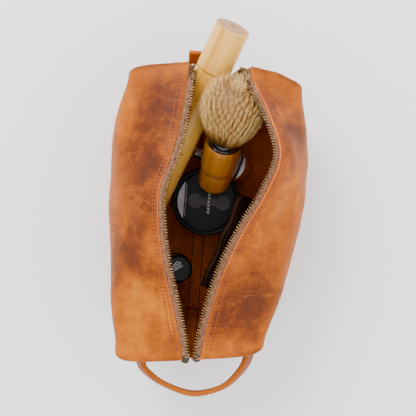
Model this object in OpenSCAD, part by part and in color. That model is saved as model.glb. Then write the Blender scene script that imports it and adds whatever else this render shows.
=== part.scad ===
// Leather shaving kit bag, standing open with its kit inside.
// Origin: middle of the flat bottom. +Y runs along the bag to its rear, +Z is up.

/* [Bag] */
// Height of the long top folds above the floor
fold_h = 105; // [100:1:110]
// Thickness of the bag leather
leather_t = 2; // [1.6:0.1:2.4]
// Radius of the long bottom corners
floor_r = 12; // [8:1:14]
// How far the long sides bulge outwards between bottom and fold
side_bulge = 4; // [0:0.5:6]

/* [Zip] */
// Width of fabric tape showing between leather edge and teeth
tape_w = 3.4; // [2.5:0.1:4]
// Width of one row of teeth
teeth_w = 3; // [2.5:0.1:3.2]
// Thickness of a row of teeth
teeth_t = 2.6; // [2:0.1:3]

/* [Strap] */
// Width of the carry strap
strap_w = 19; // [15:1:24]
// Thickness of the doubled strap leather
strap_t = 4; // [3:0.5:5]

/* [Toothbrush tube] */
// Outer diameter of the bamboo tube
tube_d = 28; // [24:0.5:29]
// Length of the tube with its cap on
tube_l = 188; // [180:1:192]
// Length of the pull-off cap
tube_cap_l = 38; // [30:1:45]

/* [Shaving brush] */
// Largest diameter of the wooden handle
brush_d = 30; // [26:0.5:31]
// Length of the wooden handle
brush_handle_l = 50; // [44:1:52]
// Width of the bristle head
knot_d = 49; // [42:1:54]

/* [Balm tin] */
// Diameter of the tin
tin_d = 58; // [54:1:58]
// Height of the tin with its lid on
tin_h = 32; // [26:0.5:32]

/* [Oil bottle] */
// Diameter of the bottle body
bottle_d = 27; // [24:1:27]
// Height of the bottle with its cap on
bottle_h = 74; // [72:1:76]

/* [Razor] */
// Length of the razor head
razor_head_l = 42; // [40:1:43]
// Diameter of the razor handle
razor_handle_d = 9; // [8:0.5:10]

/* [Leather sheath] */
// Length of the sheath
sheath_l = 84; // [80:1:86]
// Width of the sheath
sheath_w = 52; // [46:1:53]
// Thickness of the sheath
sheath_t = 6; // [4:0.5:7]

/* [Hidden] */

seam_x = -2;        // centre seam of bottom and front
seam_gap = 0.15;    // each half stops this far from the centre seam
front_lean = 24;    // how far the front wall leans out over its height
rear_lean = 10;     // the same for the rear wall
tube_tip = [12.7, 145.5, 110];
tube_dir = [0.340, 0.823, 0.454];
tube_wall = 2.5;
brush_foot = [7, 25, 44.6];
brush_dir = [0.119, 0.653, 0.748];
tin_pos = [2.4, 9.5, 2.4];
bottle_pos = [-24, -51.5, 4.4];
bottle_dir = [0.12, 0.06, 0.99];
razor_pos = [32, 40, 25];
razor_dir = [0.945, -0.27, 0.19];
sheath_pos = [18, -22, 54];
sheath_turn = -17.5;
sheath_lean = 50;
zip_x = -15.5;      // the rear run of the zip
slider_z = 64;
slider_y = 110.6;
strap_z = 76;
strap_left = [-40, -125];
strap_right = [46, -114.5];

// Smooth curve through a list of values at equal steps, t from 0 to 1
function pick(list, t) =
    let (n = len(list) - 1, s = min(max(t, 0), 0.99999) * n, i = floor(s), f = s - i,
         a = list[max(i - 1, 0)], b = list[i], c = list[i + 1], d = list[min(i + 2, n)])
    0.5 * (2 * b + (c - a) * f + (2 * a - 5 * b + 4 * c - d) * f * f
           + (3 * b - a - 3 * c + d) * f * f * f);

// Bag half: sx is -1 for the left, +1 for the right; v runs from front to rear
fold_x_l = [-60, -68, -72, -76, -77, -75.5, -67];
fold_x_r = [58, 69, 77.5, 83, 83, 80, 71];
foot_x_l = [-56, -65, -68, -69, -69, -68, -60];
foot_x_r = [53, 62, 67, 69, 69, 67, 60];
lip_x_l = [-7.5, -14.8, -24, -31, -33.8, -25.5, -21.2, -19.2];
lip_x_r = [8.2, 12.3, 19.7, 31.8, 46.5, 54.7, 44, 29];
lip_z_l = [115, 121, 129, 136, 138, 132, 124, 117];
lip_z_r = [115, 120, 127, 135, 143, 148, 140, 120];

function fold_x(sx, v) = pick(sx < 0 ? fold_x_l : fold_x_r, v);
function foot_x(sx, v) = pick(sx < 0 ? foot_x_l : foot_x_r, v);
function lip_at(sx, v) = [pick(sx < 0 ? lip_x_l : lip_x_r, v), pick(sx < 0 ? lip_z_l : lip_z_r, v)];
function fold_r(v) = 7 + 20 * sin(180 * v);

function bend(a, b, c, f) = (1 - f) * (1 - f) * a + 2 * f * (1 - f) * b + f * f * c;
function toward(a, b, d) = a + (b - a) * d / norm(b - a);

// One cross-section of a half as (x, z): u 0-1 bottom, 1-2 corner, 2-3 side, 3-4 fold, 4-5 top
function section(sx, v, u) =
    let (a = [seam_x + sx * seam_gap, 0], b = [foot_x(sx, v), 0],
         c = [fold_x(sx, v), fold_h], d = lip_at(sx, v), r = fold_r(v),
         b0 = toward(b, a, floor_r), b1 = toward(b, c, floor_r),
         c0 = toward(c, b, r), c1 = toward(c, d, r),
         s = u - floor(min(u, 4.9999)),
         puff = sx * side_bulge * sin(180 * s) * sin(180 * v))
    u < 1 ? a + (b0 - a) * s
    : u < 2 ? bend(b0, b, b1, s)
    : u < 3 ? b1 + (c0 - b1) * s + [puff, 0]
    : u < 4 ? bend(c0, c, c1, s)
    : c1 + (d - c1) * s + [0, 2 * sin(180 * s)];

// Front and rear walls, as the y of a point at (x, z)
function front_y(x, z) = -90 - front_lean * min(z, fold_h) / fold_h
    + (x < 0 ? 0.14 : 0.12) * x * min(z, fold_h) / fold_h
    + 5 * pow(max(0, 1 - z / 14), 2) + 4 * pow(abs(x) / 62, 4);
function rear_y(x, z) = 106 + rear_lean * min(z, fold_h) / fold_h
    - 4 * pow(max(0, 1 - z / 14), 2) - 9 * pow(abs(x) / 70, 3);
function shell(sx, u, v) =
    let (p = section(sx, v, u), f = front_y(p[0], p[1]), r = rear_y(p[0], p[1]))
    [p[0], f + (r - f) * v, p[1]];

// Solid sheet of thickness t under the grid pts[i][j], normals pointing out of the bag
function across(g, i, j) =
    let (ni = len(g) - 1, nj = len(g[0]) - 1,
         a = g[min(i + 1, ni)][j] - g[max(i - 1, 0)][j],
         b = g[i][min(j + 1, nj)] - g[i][max(j - 1, 0)], n = cross(a, b))
    n / norm(n);
module sheet(g, t) {
    ni = len(g);
    nj = len(g[0]);
    top = [for (i = [0:ni - 1]) for (j = [0:nj - 1]) g[i][j]];
    low = [for (i = [0:ni - 1]) for (j = [0:nj - 1]) g[i][j] - t * across(g, i, j)];
    n = ni * nj;
    faces = concat(
        [for (i = [0:ni - 2]) for (j = [0:nj - 2]) let (k = i * nj + j)
            each [[k, k + nj + 1, k + nj], [k, k + 1, k + nj + 1],
                  [n + k, n + k + nj, n + k + nj + 1], [n + k, n + k + nj + 1, n + k + 1]]],
        [for (i = [0:ni - 2]) for (e = [0, nj - 1]) let (k = i * nj + e)
            each e == 0 ? [[k, k + nj, n + k + nj], [k, n + k + nj, n + k]]
                        : [[k, n + k + nj, k + nj], [k, n + k, n + k + nj]]],
        [for (j = [0:nj - 2]) for (e = [0, ni - 1]) let (k = e * nj + j)
            each e == 0 ? [[k, n + k + 1, k + 1], [k, n + k, n + k + 1]]
                        : [[k, k + 1, n + k + 1], [k, n + k + 1, n + k]]]);
    polyhedron(concat(top, low), faces);
}

function span(a, b, n) = [for (i = [0:n]) a + (b - a) * i / n];
module strip(sx, us, v0, v1, nv) {
    vs = span(v0, v1, nv);
    g = [for (u = us) [for (v = vs) shell(sx, u, v)]];
    sheet(sx < 0 ? g : [for (i = [len(g) - 1:-1:0]) g[i]], leather_t);
}

wall_in = 0.025;    // the long panels stop this share short of the end walls
module bottom(sx) { strip(sx, span(0, 0.97, 3), wall_in, 1 - wall_in, 6); }
side_u = concat(span(1, 2, 3), span(2.25, 3, 3), span(3.25, 3.47, 1));
module side(sx) { strip(sx, side_u, wall_in, 1 - wall_in, 12); }
module top_panel(sx) { strip(sx, concat([3.56, 3.75], span(4, 5, 4)), wall_in, 1 - wall_in, 12); }

// End walls: rows follow the height, each running from the seam to the section's edge
edge_u = concat([1.3, 1.6, 2], span(2.2, 3, 4), [3.4, 3.7, 4, 4.3, 4.6, 4.9]);
function edge_at(sx, v) = [for (u = edge_u) section(sx, v, u)];
slit_l = [[-2.2, 2], [-15.7, 40], [-19.8, 44], [-19.8, 72], [-21, 80], [-22.8, 92], [-20.5, 110],
          [-19.2, 117]];
slit_r = [[-1.8, 2], [-15.3, 40], [-11.2, 44], [-11.2, 58], [-5, 62], [3, 66], [12, 71], [20, 79],
          [23.5, 92], [27, 106], [33, 120]];
function lerp_rows(rows, z) =
    z <= rows[0][1] ? rows[0][0]
    : let (i = [for (k = [0:len(rows) - 2]) if (rows[k + 1][1] >= z) k],
           k = len(i) ? i[0] : len(rows) - 2,
           f = min(1, (z - rows[k][1]) / (rows[k + 1][1] - rows[k][1])))
      rows[k][0] + (rows[k + 1][0] - rows[k][0]) * f;

module end_wall(sx, v) {
    rear = v > 0.5;
    edge = edge_at(sx, v);
    g = [for (p = edge)
            let (z = p[1],
                 inner = !rear ? seam_x + sx * (z < 100 ? seam_gap : seam_gap + (z - 100) * 0.3)
                     : sx < 0 ? min(seam_x - seam_gap, lerp_rows(slit_l, z))
                     : lerp_rows(slit_r, z) + seam_gap,
                 outer = p[0] - sx * 1.2)
            [for (f = [0, 0.2, 0.4, 0.6, 0.8, 1])
                let (x = inner + (outer - inner) * f)
                [x, rear ? rear_y(x, z) : front_y(x, z), z]]];
    flip = (sx < 0) != rear;
    sheet(flip ? g : [for (i = [len(g) - 1:-1:0]) g[i]], leather_t);
}

module left_bottom() { color("#b8622a") bottom(-1); }
module left_side() { color("#c06a30") side(-1); }
module left_top() { color("#c9733a") top_panel(-1); }
module left_front() { color("#b8622a") end_wall(-1, 0); }
module left_rear() { color("#b8622a") end_wall(-1, 1); }
module right_bottom() { color("#b8622a") bottom(1); }
module right_side() { color("#c06a30") side(1); }
module right_top() { color("#c9733a") top_panel(1); }
module right_front() { color("#b8622a") end_wall(1, 0); }
module right_rear() { color("#b8622a") end_wall(1, 1); }

// Edge of the leather along the zip, as [point, outward normal], front to rear and down the rear
function lip(sx, v) = shell(sx, 5, v);
function edge_run(sx) =
    let (slit = sx < 0 ? slit_l : slit_r, lowest = sx < 0 ? 3 : 4, n = len(slit) - 1)
    concat([[lip(sx, 0) + [0, -5, -0.6], [sx * 0.3, 0, 0.95]]],
           [for (v = span(0, 0.97, 16)) [lip(sx, v), [sx * 0.45, 0.1, 0.88]]],
           [for (k = [n - 1:-1:lowest]) let (x = slit[k][0], z = slit[k][1])
               [[x, rear_y(x, z) - 1, z], [0, 1, 0]]]);
function unit(a) = a / norm(a);
function run_dir(run, i) =
    unit(run[min(i + 1, len(run) - 1)][0] - run[max(i - 1, 0)][0]);
function inward(sx, run, i) = unit(sx * cross(run[i][1], run_dir(run, i)));

// Bar of the given width and thickness, lying from a to a + width inside the leather edge
module edge_bar(sx, from, width, thick, drop) {
    run = edge_run(sx);
    n = len(run);
    rings = [for (i = [0:n - 1])
        let (p = run[i][0], w = inward(sx, run, i), up = unit(cross(run_dir(run, i), w)) * sx * -1,
             a = p + w * from + up * drop, b = a + w * width)
        [a, b, b + up * thick, a + up * thick]];
    pts = [for (r = rings) each r];
    faces = concat([[3, 2, 1, 0]],
        [for (i = [0:n - 2]) for (k = [0:3]) let (a = i * 4 + k, b = i * 4 + (k + 1) % 4)
            each [[a, b, b + 4], [a, b + 4, a + 4]]],
        [[for (k = [0:3]) (n - 1) * 4 + k]]);
    polyhedron(pts, sx < 0 ? faces : [for (f = faces) [for (k = [len(f) - 1:-1:0]) f[k]]]);
}

module closed_zip_chain() {
    color("#7d5a35")
        translate([zip_x - teeth_w + 0.2, slider_y - teeth_t / 2, 46])
            cube([2 * teeth_w - 0.4, teeth_t, 10.7]);
}
// Width, height and level of the stamped stop at the lower end of the zip
stop_w = 5;
stop_h = 2.9;
stop_z = 43;
module zip_bottom_stop() {
    color("#9a7a45")
        translate([zip_x - stop_w / 2, slider_y - teeth_t / 2 - 0.4, stop_z])
            cube([stop_w, teeth_t + 0.8, stop_h]);
}

// Slider: two plates round the channel, joined by the wedge that parts the rows
plate_w = 8;
plate_h = 14;
bar_y = teeth_t / 2 + 1.6;      // outer face of the outer plate
module zip_slider() {
    color("#a5834c") translate([zip_x, slider_y, slider_z - plate_h / 2]) {
        for (side = [-1, 1])
            translate([-plate_w / 2, side < 0 ? -bar_y : bar_y - 1.3, 0])
                cube([plate_w, 1.3, plate_h]);
        translate([-1.2, -teeth_t / 2 - 0.6, 9.6]) cube([2.4, teeth_t + 1.2, 4.4]);
        translate([0, bar_y, 4]) bridge();
    }
}
module bridge() {
    for (z = [0, 6]) translate([-1, -0.1, z]) cube([2, 3.4, 1.4]);
    translate([-1, 2.3, 0]) cube([2, 1.2, 7.4]);
}
pull_lean = 25;     // the pull stands out from the wall by this angle
pull_pivot = [zip_x, slider_y + bar_y + 1.15, slider_z + 0.7];
module zip_pull_ring() {
    color("#a5834c") translate(pull_pivot) rotate([-pull_lean, 0, 0]) {
        translate([-4, 0, 0]) rotate([0, 90, 0]) cylinder(d = 1.6, h = 8, $fn = 32);
        for (x = [-4, 2.4]) translate([x, -0.6, 0]) cube([1.6, 1.2, 9]);
        translate([-4, -0.6, 8.4]) cube([8, 1.2, 2]);
    }
}
module zip_pull() {
    color("#b5622a") translate(pull_pivot) rotate([-pull_lean, 0, 0])
        translate([-5, -1.4, 7.6]) difference() {
            cube([10, 2.8, 22]);
            translate([0.8, 0.6, -1]) cube([8.4, 1.6, 4]);
        }
}

strap_path = [strap_left, [-35, -132], [-20, -141], [4, -147], [27, -140], [40, -127], strap_right];
function strap_at(t) = pick(strap_path, t);
function strap_side(t, d) =
    let (a = unit(strap_at(t + 0.01) - strap_at(t - 0.01))) strap_at(t) + d * [-a[1], a[0]];
// The strap is rounded about its hinge line as far as strap_root, so its corners clear the anchors
strap_root = 8.6;
strap_reach = 40;
strap_axis = atan2(strap_right[1] - strap_left[1], strap_right[0] - strap_left[0]);
module strap_disc(p, grow, t) {
    translate([p[0], p[1], strap_z]) rotate([0, 90, strap_axis])
        cylinder(d = strap_w + 2 * grow, h = t, center = true, $fn = 64);
}
module carry_strap() {
    color("#b5560f") {
        intersection() {
            translate([0, 0, strap_z - strap_w / 2]) linear_extrude(strap_w)
                polygon(concat([for (t = span(0.015, 0.985, 28)) strap_side(t, strap_t / 2)],
                               [for (t = span(0.985, 0.015, 28)) strap_side(t, -strap_t / 2)]));
            union() {
                strap_disc(strap_left, 0, strap_reach);
                strap_disc(strap_right, 0, strap_reach);
                translate([strap_left[0], strap_left[1], strap_z - strap_w]) rotate([0, 0, strap_axis])
                    translate([-strap_reach, -strap_reach - strap_root, 0])
                        cube([2 * strap_reach + 90, strap_reach, 2 * strap_w]);
            }
        }
        strap_disc(strap_left, 0, strap_t);
        strap_disc(strap_right, 0, strap_t);
    }
}
module strap_anchors() {
    low = strap_z - strap_w / 2;
    high = strap_z + strap_w / 2;
    color("#b5560f") for (p = [strap_left, strap_right])
        difference() {
            translate([p[0] - strap_t / 2, 0, 0]) rotate([90, 0, 90]) linear_extrude(strap_t)
                polygon([[p[1] - 2, low], [front_y(p[0], low) - 0.7, low],
                         [front_y(p[0], high) - 0.7, high], [p[1] - 2, high]]);
            strap_disc(p, 0.4, 14);
        }
}

// Puts a piece made along +Z at a point, looking along a direction
module aim(at, dir, roll = 0) {
    translate(at) rotate([0, acos(dir[2] / norm(dir)), atan2(dir[1], dir[0])]) rotate([0, 0, roll])
        children();
}

// Bamboo toothbrush tube, bored from the cap end; z = 0 is its closed lower end
module tube_frame() { aim(tube_tip - tube_l * tube_dir, tube_dir) children(); }
module tube_body() {
    body_l = tube_l - tube_cap_l;
    color("#dcae6c") tube_frame() difference() {
        cylinder(d = tube_d, h = body_l - 0.4, $fn = 64);
        translate([0, 0, 5]) cylinder(d = tube_d - 2 * tube_wall - 2, h = body_l, $fn = 64);
        translate([0, 0, body_l - 8]) difference() {
            cylinder(d = tube_d + 2, h = 10, $fn = 64);
            translate([0, 0, -1]) cylinder(d = tube_d - 3.4, h = 12, $fn = 64);
        }
    }
}
module tube_cap() {
    color("#e2b878") tube_frame() translate([0, 0, tube_l - tube_cap_l]) difference() {
        translate([0, 0, -7.6]) cylinder(d = tube_d, h = tube_cap_l + 7.6, $fn = 64);
        translate([0, 0, -9]) cylinder(d = tube_d - 2.8, h = 10, $fn = 64);
        translate([0, 0, -1]) cylinder(d = tube_d - 2 * tube_wall - 2, h = tube_cap_l - 3, $fn = 64);
    }
}
module toothbrush() {
    color("#d8b27a") tube_frame() {
        translate([-5, -2.5, 5.3]) cube([10, 5, 168]);
        color("#f4f1e6") translate([-5, 2.5, 148]) cube([10, 5, 24]);
    }
}

// Shaving brush, turned about its own axis; z = 0 is the foot of the handle
ring_l = 7;
module brush_frame() { aim(brush_foot, brush_dir) children(); }
module brush_handle() {
    r = brush_d / 2;
    color("#c98a3f") brush_frame() rotate_extrude($fn = 64)
        polygon([[0, 0], [r - 4, 0], [r - 2.2, 1.5], [r - 1.4, 5], [r - 1.2, 16], [r - 1.8, 18.5],
                 [r - 2.2, 20], [r - 1.2, 21], [r - 0.2, 24], [r, 30], [r, brush_handle_l - 3],
                 [r - 0.6, brush_handle_l], [0, brush_handle_l]]);
}
module brush_ring() {
    r = brush_d / 2 - 1.2;
    color("#191919") brush_frame() translate([0, 0, brush_handle_l + 0.05]) rotate_extrude($fn = 64)
        polygon([[0, 0], [r, 0], [r + 0.3, 1], [r + 0.3, ring_l - 1.2], [r - 0.5, ring_l], [0, ring_l]]);
}
module brush_knot() {
    r = knot_d / 2;
    color("#e3cda2") difference() {
        brush_frame() translate([0, 0, brush_handle_l + ring_l + 0.1]) rotate_extrude($fn = 48)
            polygon([[0, 0], [r * 0.5, 0], [r * 0.62, 5], [r * 0.84, 13], [r * 0.97, 22], [r, 30],
                     [r * 0.93, 38], [r * 0.74, 45], [r * 0.45, 50], [0, 52]]);
        aim(tube_tip - tube_l * tube_dir, tube_dir)
            cylinder(d = tube_d + 1, h = tube_l + 5, $fn = 64);
    }
}

module tin_base() {
    color("#26262a") translate(tin_pos) difference() {
        cylinder(d = tin_d - 1.2, h = tin_h - 1.4, $fn = 96);
        translate([0, 0, 1]) cylinder(d = tin_d - 3, h = tin_h, $fn = 96);
    }
}
module balm() {
    color("#e8dcc0") translate(tin_pos + [0, 0, 1]) cylinder(d = tin_d - 3, h = tin_h - 8, $fn = 96);
}
module tin_lid() {
    lid_h = 13;
    color("#141416") translate(tin_pos + [0, 0, tin_h - lid_h]) difference() {
        cylinder(d = tin_d + 0.8, h = lid_h, $fn = 96);
        translate([0, 0, -1]) cylinder(d = tin_d - 0.6, h = lid_h, $fn = 96);
    }
}

cap_h = 22;
module bottle_frame() { aim(bottle_pos, bottle_dir) children(); }
module bottle_body() {
    r = bottle_d / 2;
    shoulder = bottle_h - cap_h - 8;
    color("#1c1512") bottle_frame() rotate_extrude($fn = 64)
        polygon([[0, 0], [r - 1.5, 0], [r, 1.5], [r, shoulder], [r - 1.5, shoulder + 3.5],
                 [8, bottle_h - cap_h - 2], [7, bottle_h - cap_h - 1], [7, bottle_h - 3],
                 [5.4, bottle_h - 3], [5.4, bottle_h - cap_h - 2], [r - 3.2, shoulder + 1],
                 [r - 2, shoulder - 1], [r - 2, 2.5], [0, 2.5]]);
}
module bottle_cap() {
    color("#0e0e10") bottle_frame() translate([0, 0, bottle_h - cap_h]) difference() {
        union() {
            cylinder(r = 10.7, h = cap_h, $fn = 64);
            for (k = [0:35]) rotate([0, 0, k * 10]) translate([10.5, -0.35, 1]) cube([0.6, 0.7, cap_h - 3]);
        }
        translate([0, 0, -1]) cylinder(r = 7.4, h = cap_h - 1, $fn = 64);
    }
}

// Safety razor: +Z runs from the handle's tail to the head, +X along the blade
handle_l = 84;
module razor_frame() { aim(razor_pos, razor_dir) children(); }
module razor_plate() {
    color("#c9ccd0") razor_frame() difference() {
        union() {
            intersection() {
                translate([-razor_head_l / 2, -12.2, -3.4]) cube([razor_head_l, 24.4, 2.6]);
                translate([0, 0, -27.5]) rotate([0, 90, 0])
                    cylinder(r = 27, h = razor_head_l + 2, center = true, $fn = 96);
            }
            translate([0, 0, -6]) cylinder(d = 9, h = 4, $fn = 48);
        }
        for (side = [-1, 1]) for (k = [-5:5])
            translate([k * 3.5, side * 12, -5]) cylinder(d = 1.8, h = 6, $fn = 24);
        translate([0, 0, -7]) cylinder(d = 5.2, h = 9, $fn = 48);
    }
}
module razor_blade() {
    color("#e9edf0") razor_frame() difference() {
        translate([-razor_head_l / 2 + 0.5, -11, 0.3]) cube([razor_head_l - 1, 22, 0.3]);
        translate([0, 0, -1]) cylinder(d = 5.4, h = 3, $fn = 48);
        for (side = [-1, 1]) translate([side * 11 - 6, -1.2, -1]) cube([12, 2.4, 3]);
    }
}
module razor_cap() {
    color("#d5d8dc") razor_frame() {
        intersection() {
            translate([-razor_head_l / 2, -9.8, 0.9]) cube([razor_head_l, 19.6, 4]);
            translate([0, 0, -13.4]) rotate([0, 90, 0])
                cylinder(r = 17.6, h = razor_head_l + 2, center = true, $fn = 96);
        }
        translate([0, 0, -13]) cylinder(d = 4.6, h = 14.5, $fn = 48);
    }
}
module razor_handle() {
    r = razor_handle_d / 2;
    color("#b9bdc2") razor_frame() translate([0, 0, -handle_l - 6.4]) difference() {
        union() {
            cylinder(r = r + 1, h = 8, $fn = 48);
            cylinder(r = r - 0.7, h = handle_l, $fn = 48);
            for (z = [9:5:60]) translate([0, 0, z]) cylinder(r = r, h = 4.2, $fn = 48);
            translate([0, 0, 64]) cylinder(r = r + 0.6, h = 3, $fn = 48);
        }
        translate([0, 0, handle_l - 12]) cylinder(d = 5.2, h = 14, $fn = 48);
    }
}

module leather_sheath() {
    color("#3a2018") translate(sheath_pos) rotate([0, 0, sheath_turn]) rotate([0, sheath_lean, 0])
        translate([0, -sheath_l / 2, -sheath_t])
            linear_extrude(sheath_t) polygon([[2, 0], [sheath_w - 4, 0], [sheath_w, 5],
                [sheath_w, sheath_l - 10], [sheath_w - 10, sheath_l], [8, sheath_l],
                [2, sheath_l - 5], [3.5, sheath_l * 0.7], [0.5, sheath_l * 0.55],
                [2.5, sheath_l * 0.35], [0, sheath_l * 0.15]]);
}

module left_zip_tape() { color("#8a6a48") edge_bar(-1, 0.1, tape_w - 0.1, 0.7, -2.4); }
module right_zip_tape() { color("#8a6a48") edge_bar(1, 0.25, tape_w - 0.25, 0.7, -2.4); }
module left_zip_teeth() { color("#a5834c") edge_bar(-1, tape_w + 0.1, teeth_w, teeth_t, -3.4); }
module right_zip_teeth() { color("#a5834c") edge_bar(1, tape_w + 0.1, teeth_w, teeth_t, -3.4); }

left_bottom();
left_side();
left_top();
left_front();
left_rear();
right_bottom();
right_side();
right_top();
right_front();
right_rear();
left_zip_tape();
right_zip_tape();
left_zip_teeth();
right_zip_teeth();
closed_zip_chain();
zip_bottom_stop();
zip_slider();
zip_pull_ring();
zip_pull();
carry_strap();
strap_anchors();
tube_body();
tube_cap();
toothbrush();
brush_handle();
brush_ring();
brush_knot();
tin_base();
tin_lid();
balm();
bottle_body();
bottle_cap();
razor_cap();
razor_plate();
razor_blade();
razor_handle();
leather_sheath();
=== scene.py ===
import math
import random

import bpy
from mathutils import Matrix, Vector, noise


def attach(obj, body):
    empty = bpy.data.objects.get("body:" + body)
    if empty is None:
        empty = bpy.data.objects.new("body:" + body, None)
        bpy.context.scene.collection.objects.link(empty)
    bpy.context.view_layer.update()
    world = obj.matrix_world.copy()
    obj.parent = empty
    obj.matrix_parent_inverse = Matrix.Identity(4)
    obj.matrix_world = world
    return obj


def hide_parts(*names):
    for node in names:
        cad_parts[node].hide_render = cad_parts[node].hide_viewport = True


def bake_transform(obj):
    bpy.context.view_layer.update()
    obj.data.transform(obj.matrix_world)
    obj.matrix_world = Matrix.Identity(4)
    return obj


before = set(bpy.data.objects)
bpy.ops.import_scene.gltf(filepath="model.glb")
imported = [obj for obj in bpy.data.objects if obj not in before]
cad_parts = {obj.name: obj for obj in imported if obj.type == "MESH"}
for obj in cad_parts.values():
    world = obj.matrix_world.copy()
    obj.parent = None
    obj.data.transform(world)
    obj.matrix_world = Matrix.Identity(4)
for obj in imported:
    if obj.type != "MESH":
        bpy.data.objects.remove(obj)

# Shaving kit bag in pull-up leather, standing open with its kit inside.
# Lengths in the dictionaries are millimetres; meshes are made in millimetres and scaled to metres.

mm = 0.001
random.seed(11)


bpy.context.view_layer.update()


def tint(hexText):
    # sRGB hex to linear
    parts = [int(hexText.lstrip("#")[i:i + 2], 16) / 255 for i in (0, 2, 4)]
    return [c / 12.92 if c <= 0.04045 else ((c + 0.055) / 1.055) ** 2.4 for c in parts] + [1.0]


def addNode(tree, kind, settings=None, links=None):
    # one node with its settings (attributes, sockets, ramp stops) and incoming links
    node = tree.nodes.new("ShaderNode" + kind)
    for key, value in (settings or {}).items():
        if key == "stops":
            ramp = node.color_ramp
            while len(ramp.elements) < len(value):
                ramp.elements.new(0.5)
            for element, (place, colour) in zip(ramp.elements, value):
                element.position = place
                element.color = tint(colour) if isinstance(colour, str) else [colour] * 3 + [1]
        elif isinstance(key, str) and hasattr(node, key):
            setattr(node, key, value)
        else:
            node.inputs[key].default_value = value
    for key, socket in (links or {}).items():
        tree.links.new(socket, node.inputs[key])
    return node


def newMaterial(name, settings):
    material = bpy.data.materials.new(name)
    material.use_nodes = True
    tree = material.node_tree
    shader = tree.nodes["Principled BSDF"]
    for key, value in settings.items():
        shader.inputs[key].default_value = tint(value) if isinstance(value, str) else value
    return material, tree, shader


def perMm(size):
    # noise scale that gives features of this many millimetres
    return 1000.0 / size


def leatherLook(name, ramp, values):
    # full-grain leather: cloudy oil pull-up, fine pores and light scuffs; the "tone" of each point says
    # where it is burnished dark, pulled up pale or given a painted sheen, and its "wear" where it is rubbed pale
    material, tree, shader = newMaterial(name, {"Specular IOR Level": 0.15})
    place = addNode(tree, "TexCoord")
    own = place.outputs["Object"]
    warp = addNode(tree, "TexNoise", {"Scale": perMm(45), "Detail": 3.0}, {"Vector": own})
    bent = addNode(tree, "MixRGB", {"blend_type": "LINEAR_LIGHT", "Fac": 0.012},
                   {"Color1": own, "Color2": warp.outputs["Color"]})
    clouds = addNode(tree, "TexNoise", {"Scale": perMm(values["cloud"]), "Detail": 6.0,
                     "Roughness": 0.62, "Distortion": 0.9}, {"Vector": bent.outputs[0]})
    mottle = addNode(tree, "TexNoise", {"Scale": perMm(values["mottle"]), "Detail": 7.0,
                     "Roughness": 0.7}, {"Vector": own})
    tone = addNode(tree, "Attribute", {"attribute_name": "tone"})
    wear = addNode(tree, "Attribute", {"attribute_name": "wear"})
    a = addNode(tree, "Math", {"operation": "MULTIPLY_ADD", 1: 0.62},
                {0: clouds.outputs["Fac"], 2: tone.outputs["Fac"]})
    b = addNode(tree, "Math", {"operation": "MULTIPLY_ADD", 1: 0.38},
                {0: mottle.outputs["Fac"], 2: a.outputs[0]})
    base = addNode(tree, "ValToRGB", {"stops": ramp}, {"Fac": b.outputs[0]})
    # long pale scratches: a noise stretched along one way, only its thin ridge kept
    stretch = addNode(tree, "Mapping", {"Rotation": (0.2, 0.3, 0.65), "Scale": (7.0, 90.0, 30.0)},
                      {"Vector": bent.outputs[0]})
    scratch = addNode(tree, "TexNoise", {"Scale": 1.0, "Detail": 2.0, "Distortion": 0.4},
                      {"Vector": stretch.outputs[0]})
    ridge = addNode(tree, "ValToRGB", {"stops": [(0.493, 0.0), (0.5, 0.3), (0.507, 0.0)]},
                    {"Fac": scratch.outputs["Fac"]})
    scuffed = addNode(tree, "MixRGB", {"Color2": tint(values["scuff"])},
                      {"Fac": ridge.outputs[0], "Color1": base.outputs[0]})
    wearMask = addNode(tree, "Math", {"operation": "MULTIPLY"},
                       {0: wear.outputs["Fac"], 1: mottle.outputs["Fac"]})
    wearMore = addNode(tree, "Math", {"operation": "MULTIPLY", 1: 1.9, "use_clamp": True},
                       {0: wearMask.outputs[0]})
    worn = addNode(tree, "MixRGB", {"Color2": tint(values["worn"])},
                   {"Fac": wearMore.outputs[0], "Color1": scuffed.outputs[0]})
    pores = addNode(tree, "TexVoronoi", {"Scale": perMm(values["pore"])}, {"Vector": own})
    fine = addNode(tree, "TexNoise", {"Scale": perMm(0.5), "Detail": 3.0}, {"Vector": own})
    speck = addNode(tree, "MixRGB", {"blend_type": "OVERLAY", "Fac": values["speck"]},
                    {"Color1": worn.outputs[0], "Color2": fine.outputs["Fac"]})
    tree.links.new(speck.outputs[0], shader.inputs["Base Color"])
    rough = addNode(tree, "MapRange", {"To Min": values["rough"][0], "To Max": values["rough"][1]},
                    {"Value": mottle.outputs["Fac"]})
    tree.links.new(rough.outputs[0], shader.inputs["Roughness"])
    grain = addNode(tree, "Bump", {"Strength": 0.35, "Distance": 0.0003},
                    {"Height": pores.outputs["Distance"]})
    soft = addNode(tree, "Bump", {"Strength": 0.3, "Distance": 0.0012},
                   {"Height": mottle.outputs["Fac"], "Normal": grain.outputs[0]})
    tree.links.new(soft.outputs[0], shader.inputs["Normal"])
    return material


# crazy-horse pull-up leather: orange tan that goes pale where it is bent and brown where oiled
pullUpTan = leatherLook("pull_up_leather_tan",
    [(0.24, "#4a1e08"), (0.37, "#642a05"), (0.47, "#863f00"), (0.56, "#a04f00"), (0.68, "#b96600"),
     (0.85, "#c98224")],
    {"cloud": 34, "mottle": 9, "pore": 0.9, "speck": 0.3, "scuff": "#b8680e", "worn": "#b55c06",
     "rough": (0.42, 0.62)})
# the flesh side: same hide, rougher and more even, dull orange brown
fleshSide = leatherLook("leather_flesh_side",
    [(0.2, "#763004"), (0.45, "#ab5204"), (0.65, "#c26407"), (0.9, "#d07614")],
    {"cloud": 30, "mottle": 4, "pore": 0.6, "speck": 0.4, "scuff": "#964410", "worn": "#9c4c14",
     "rough": (0.75, 0.92)})
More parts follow.
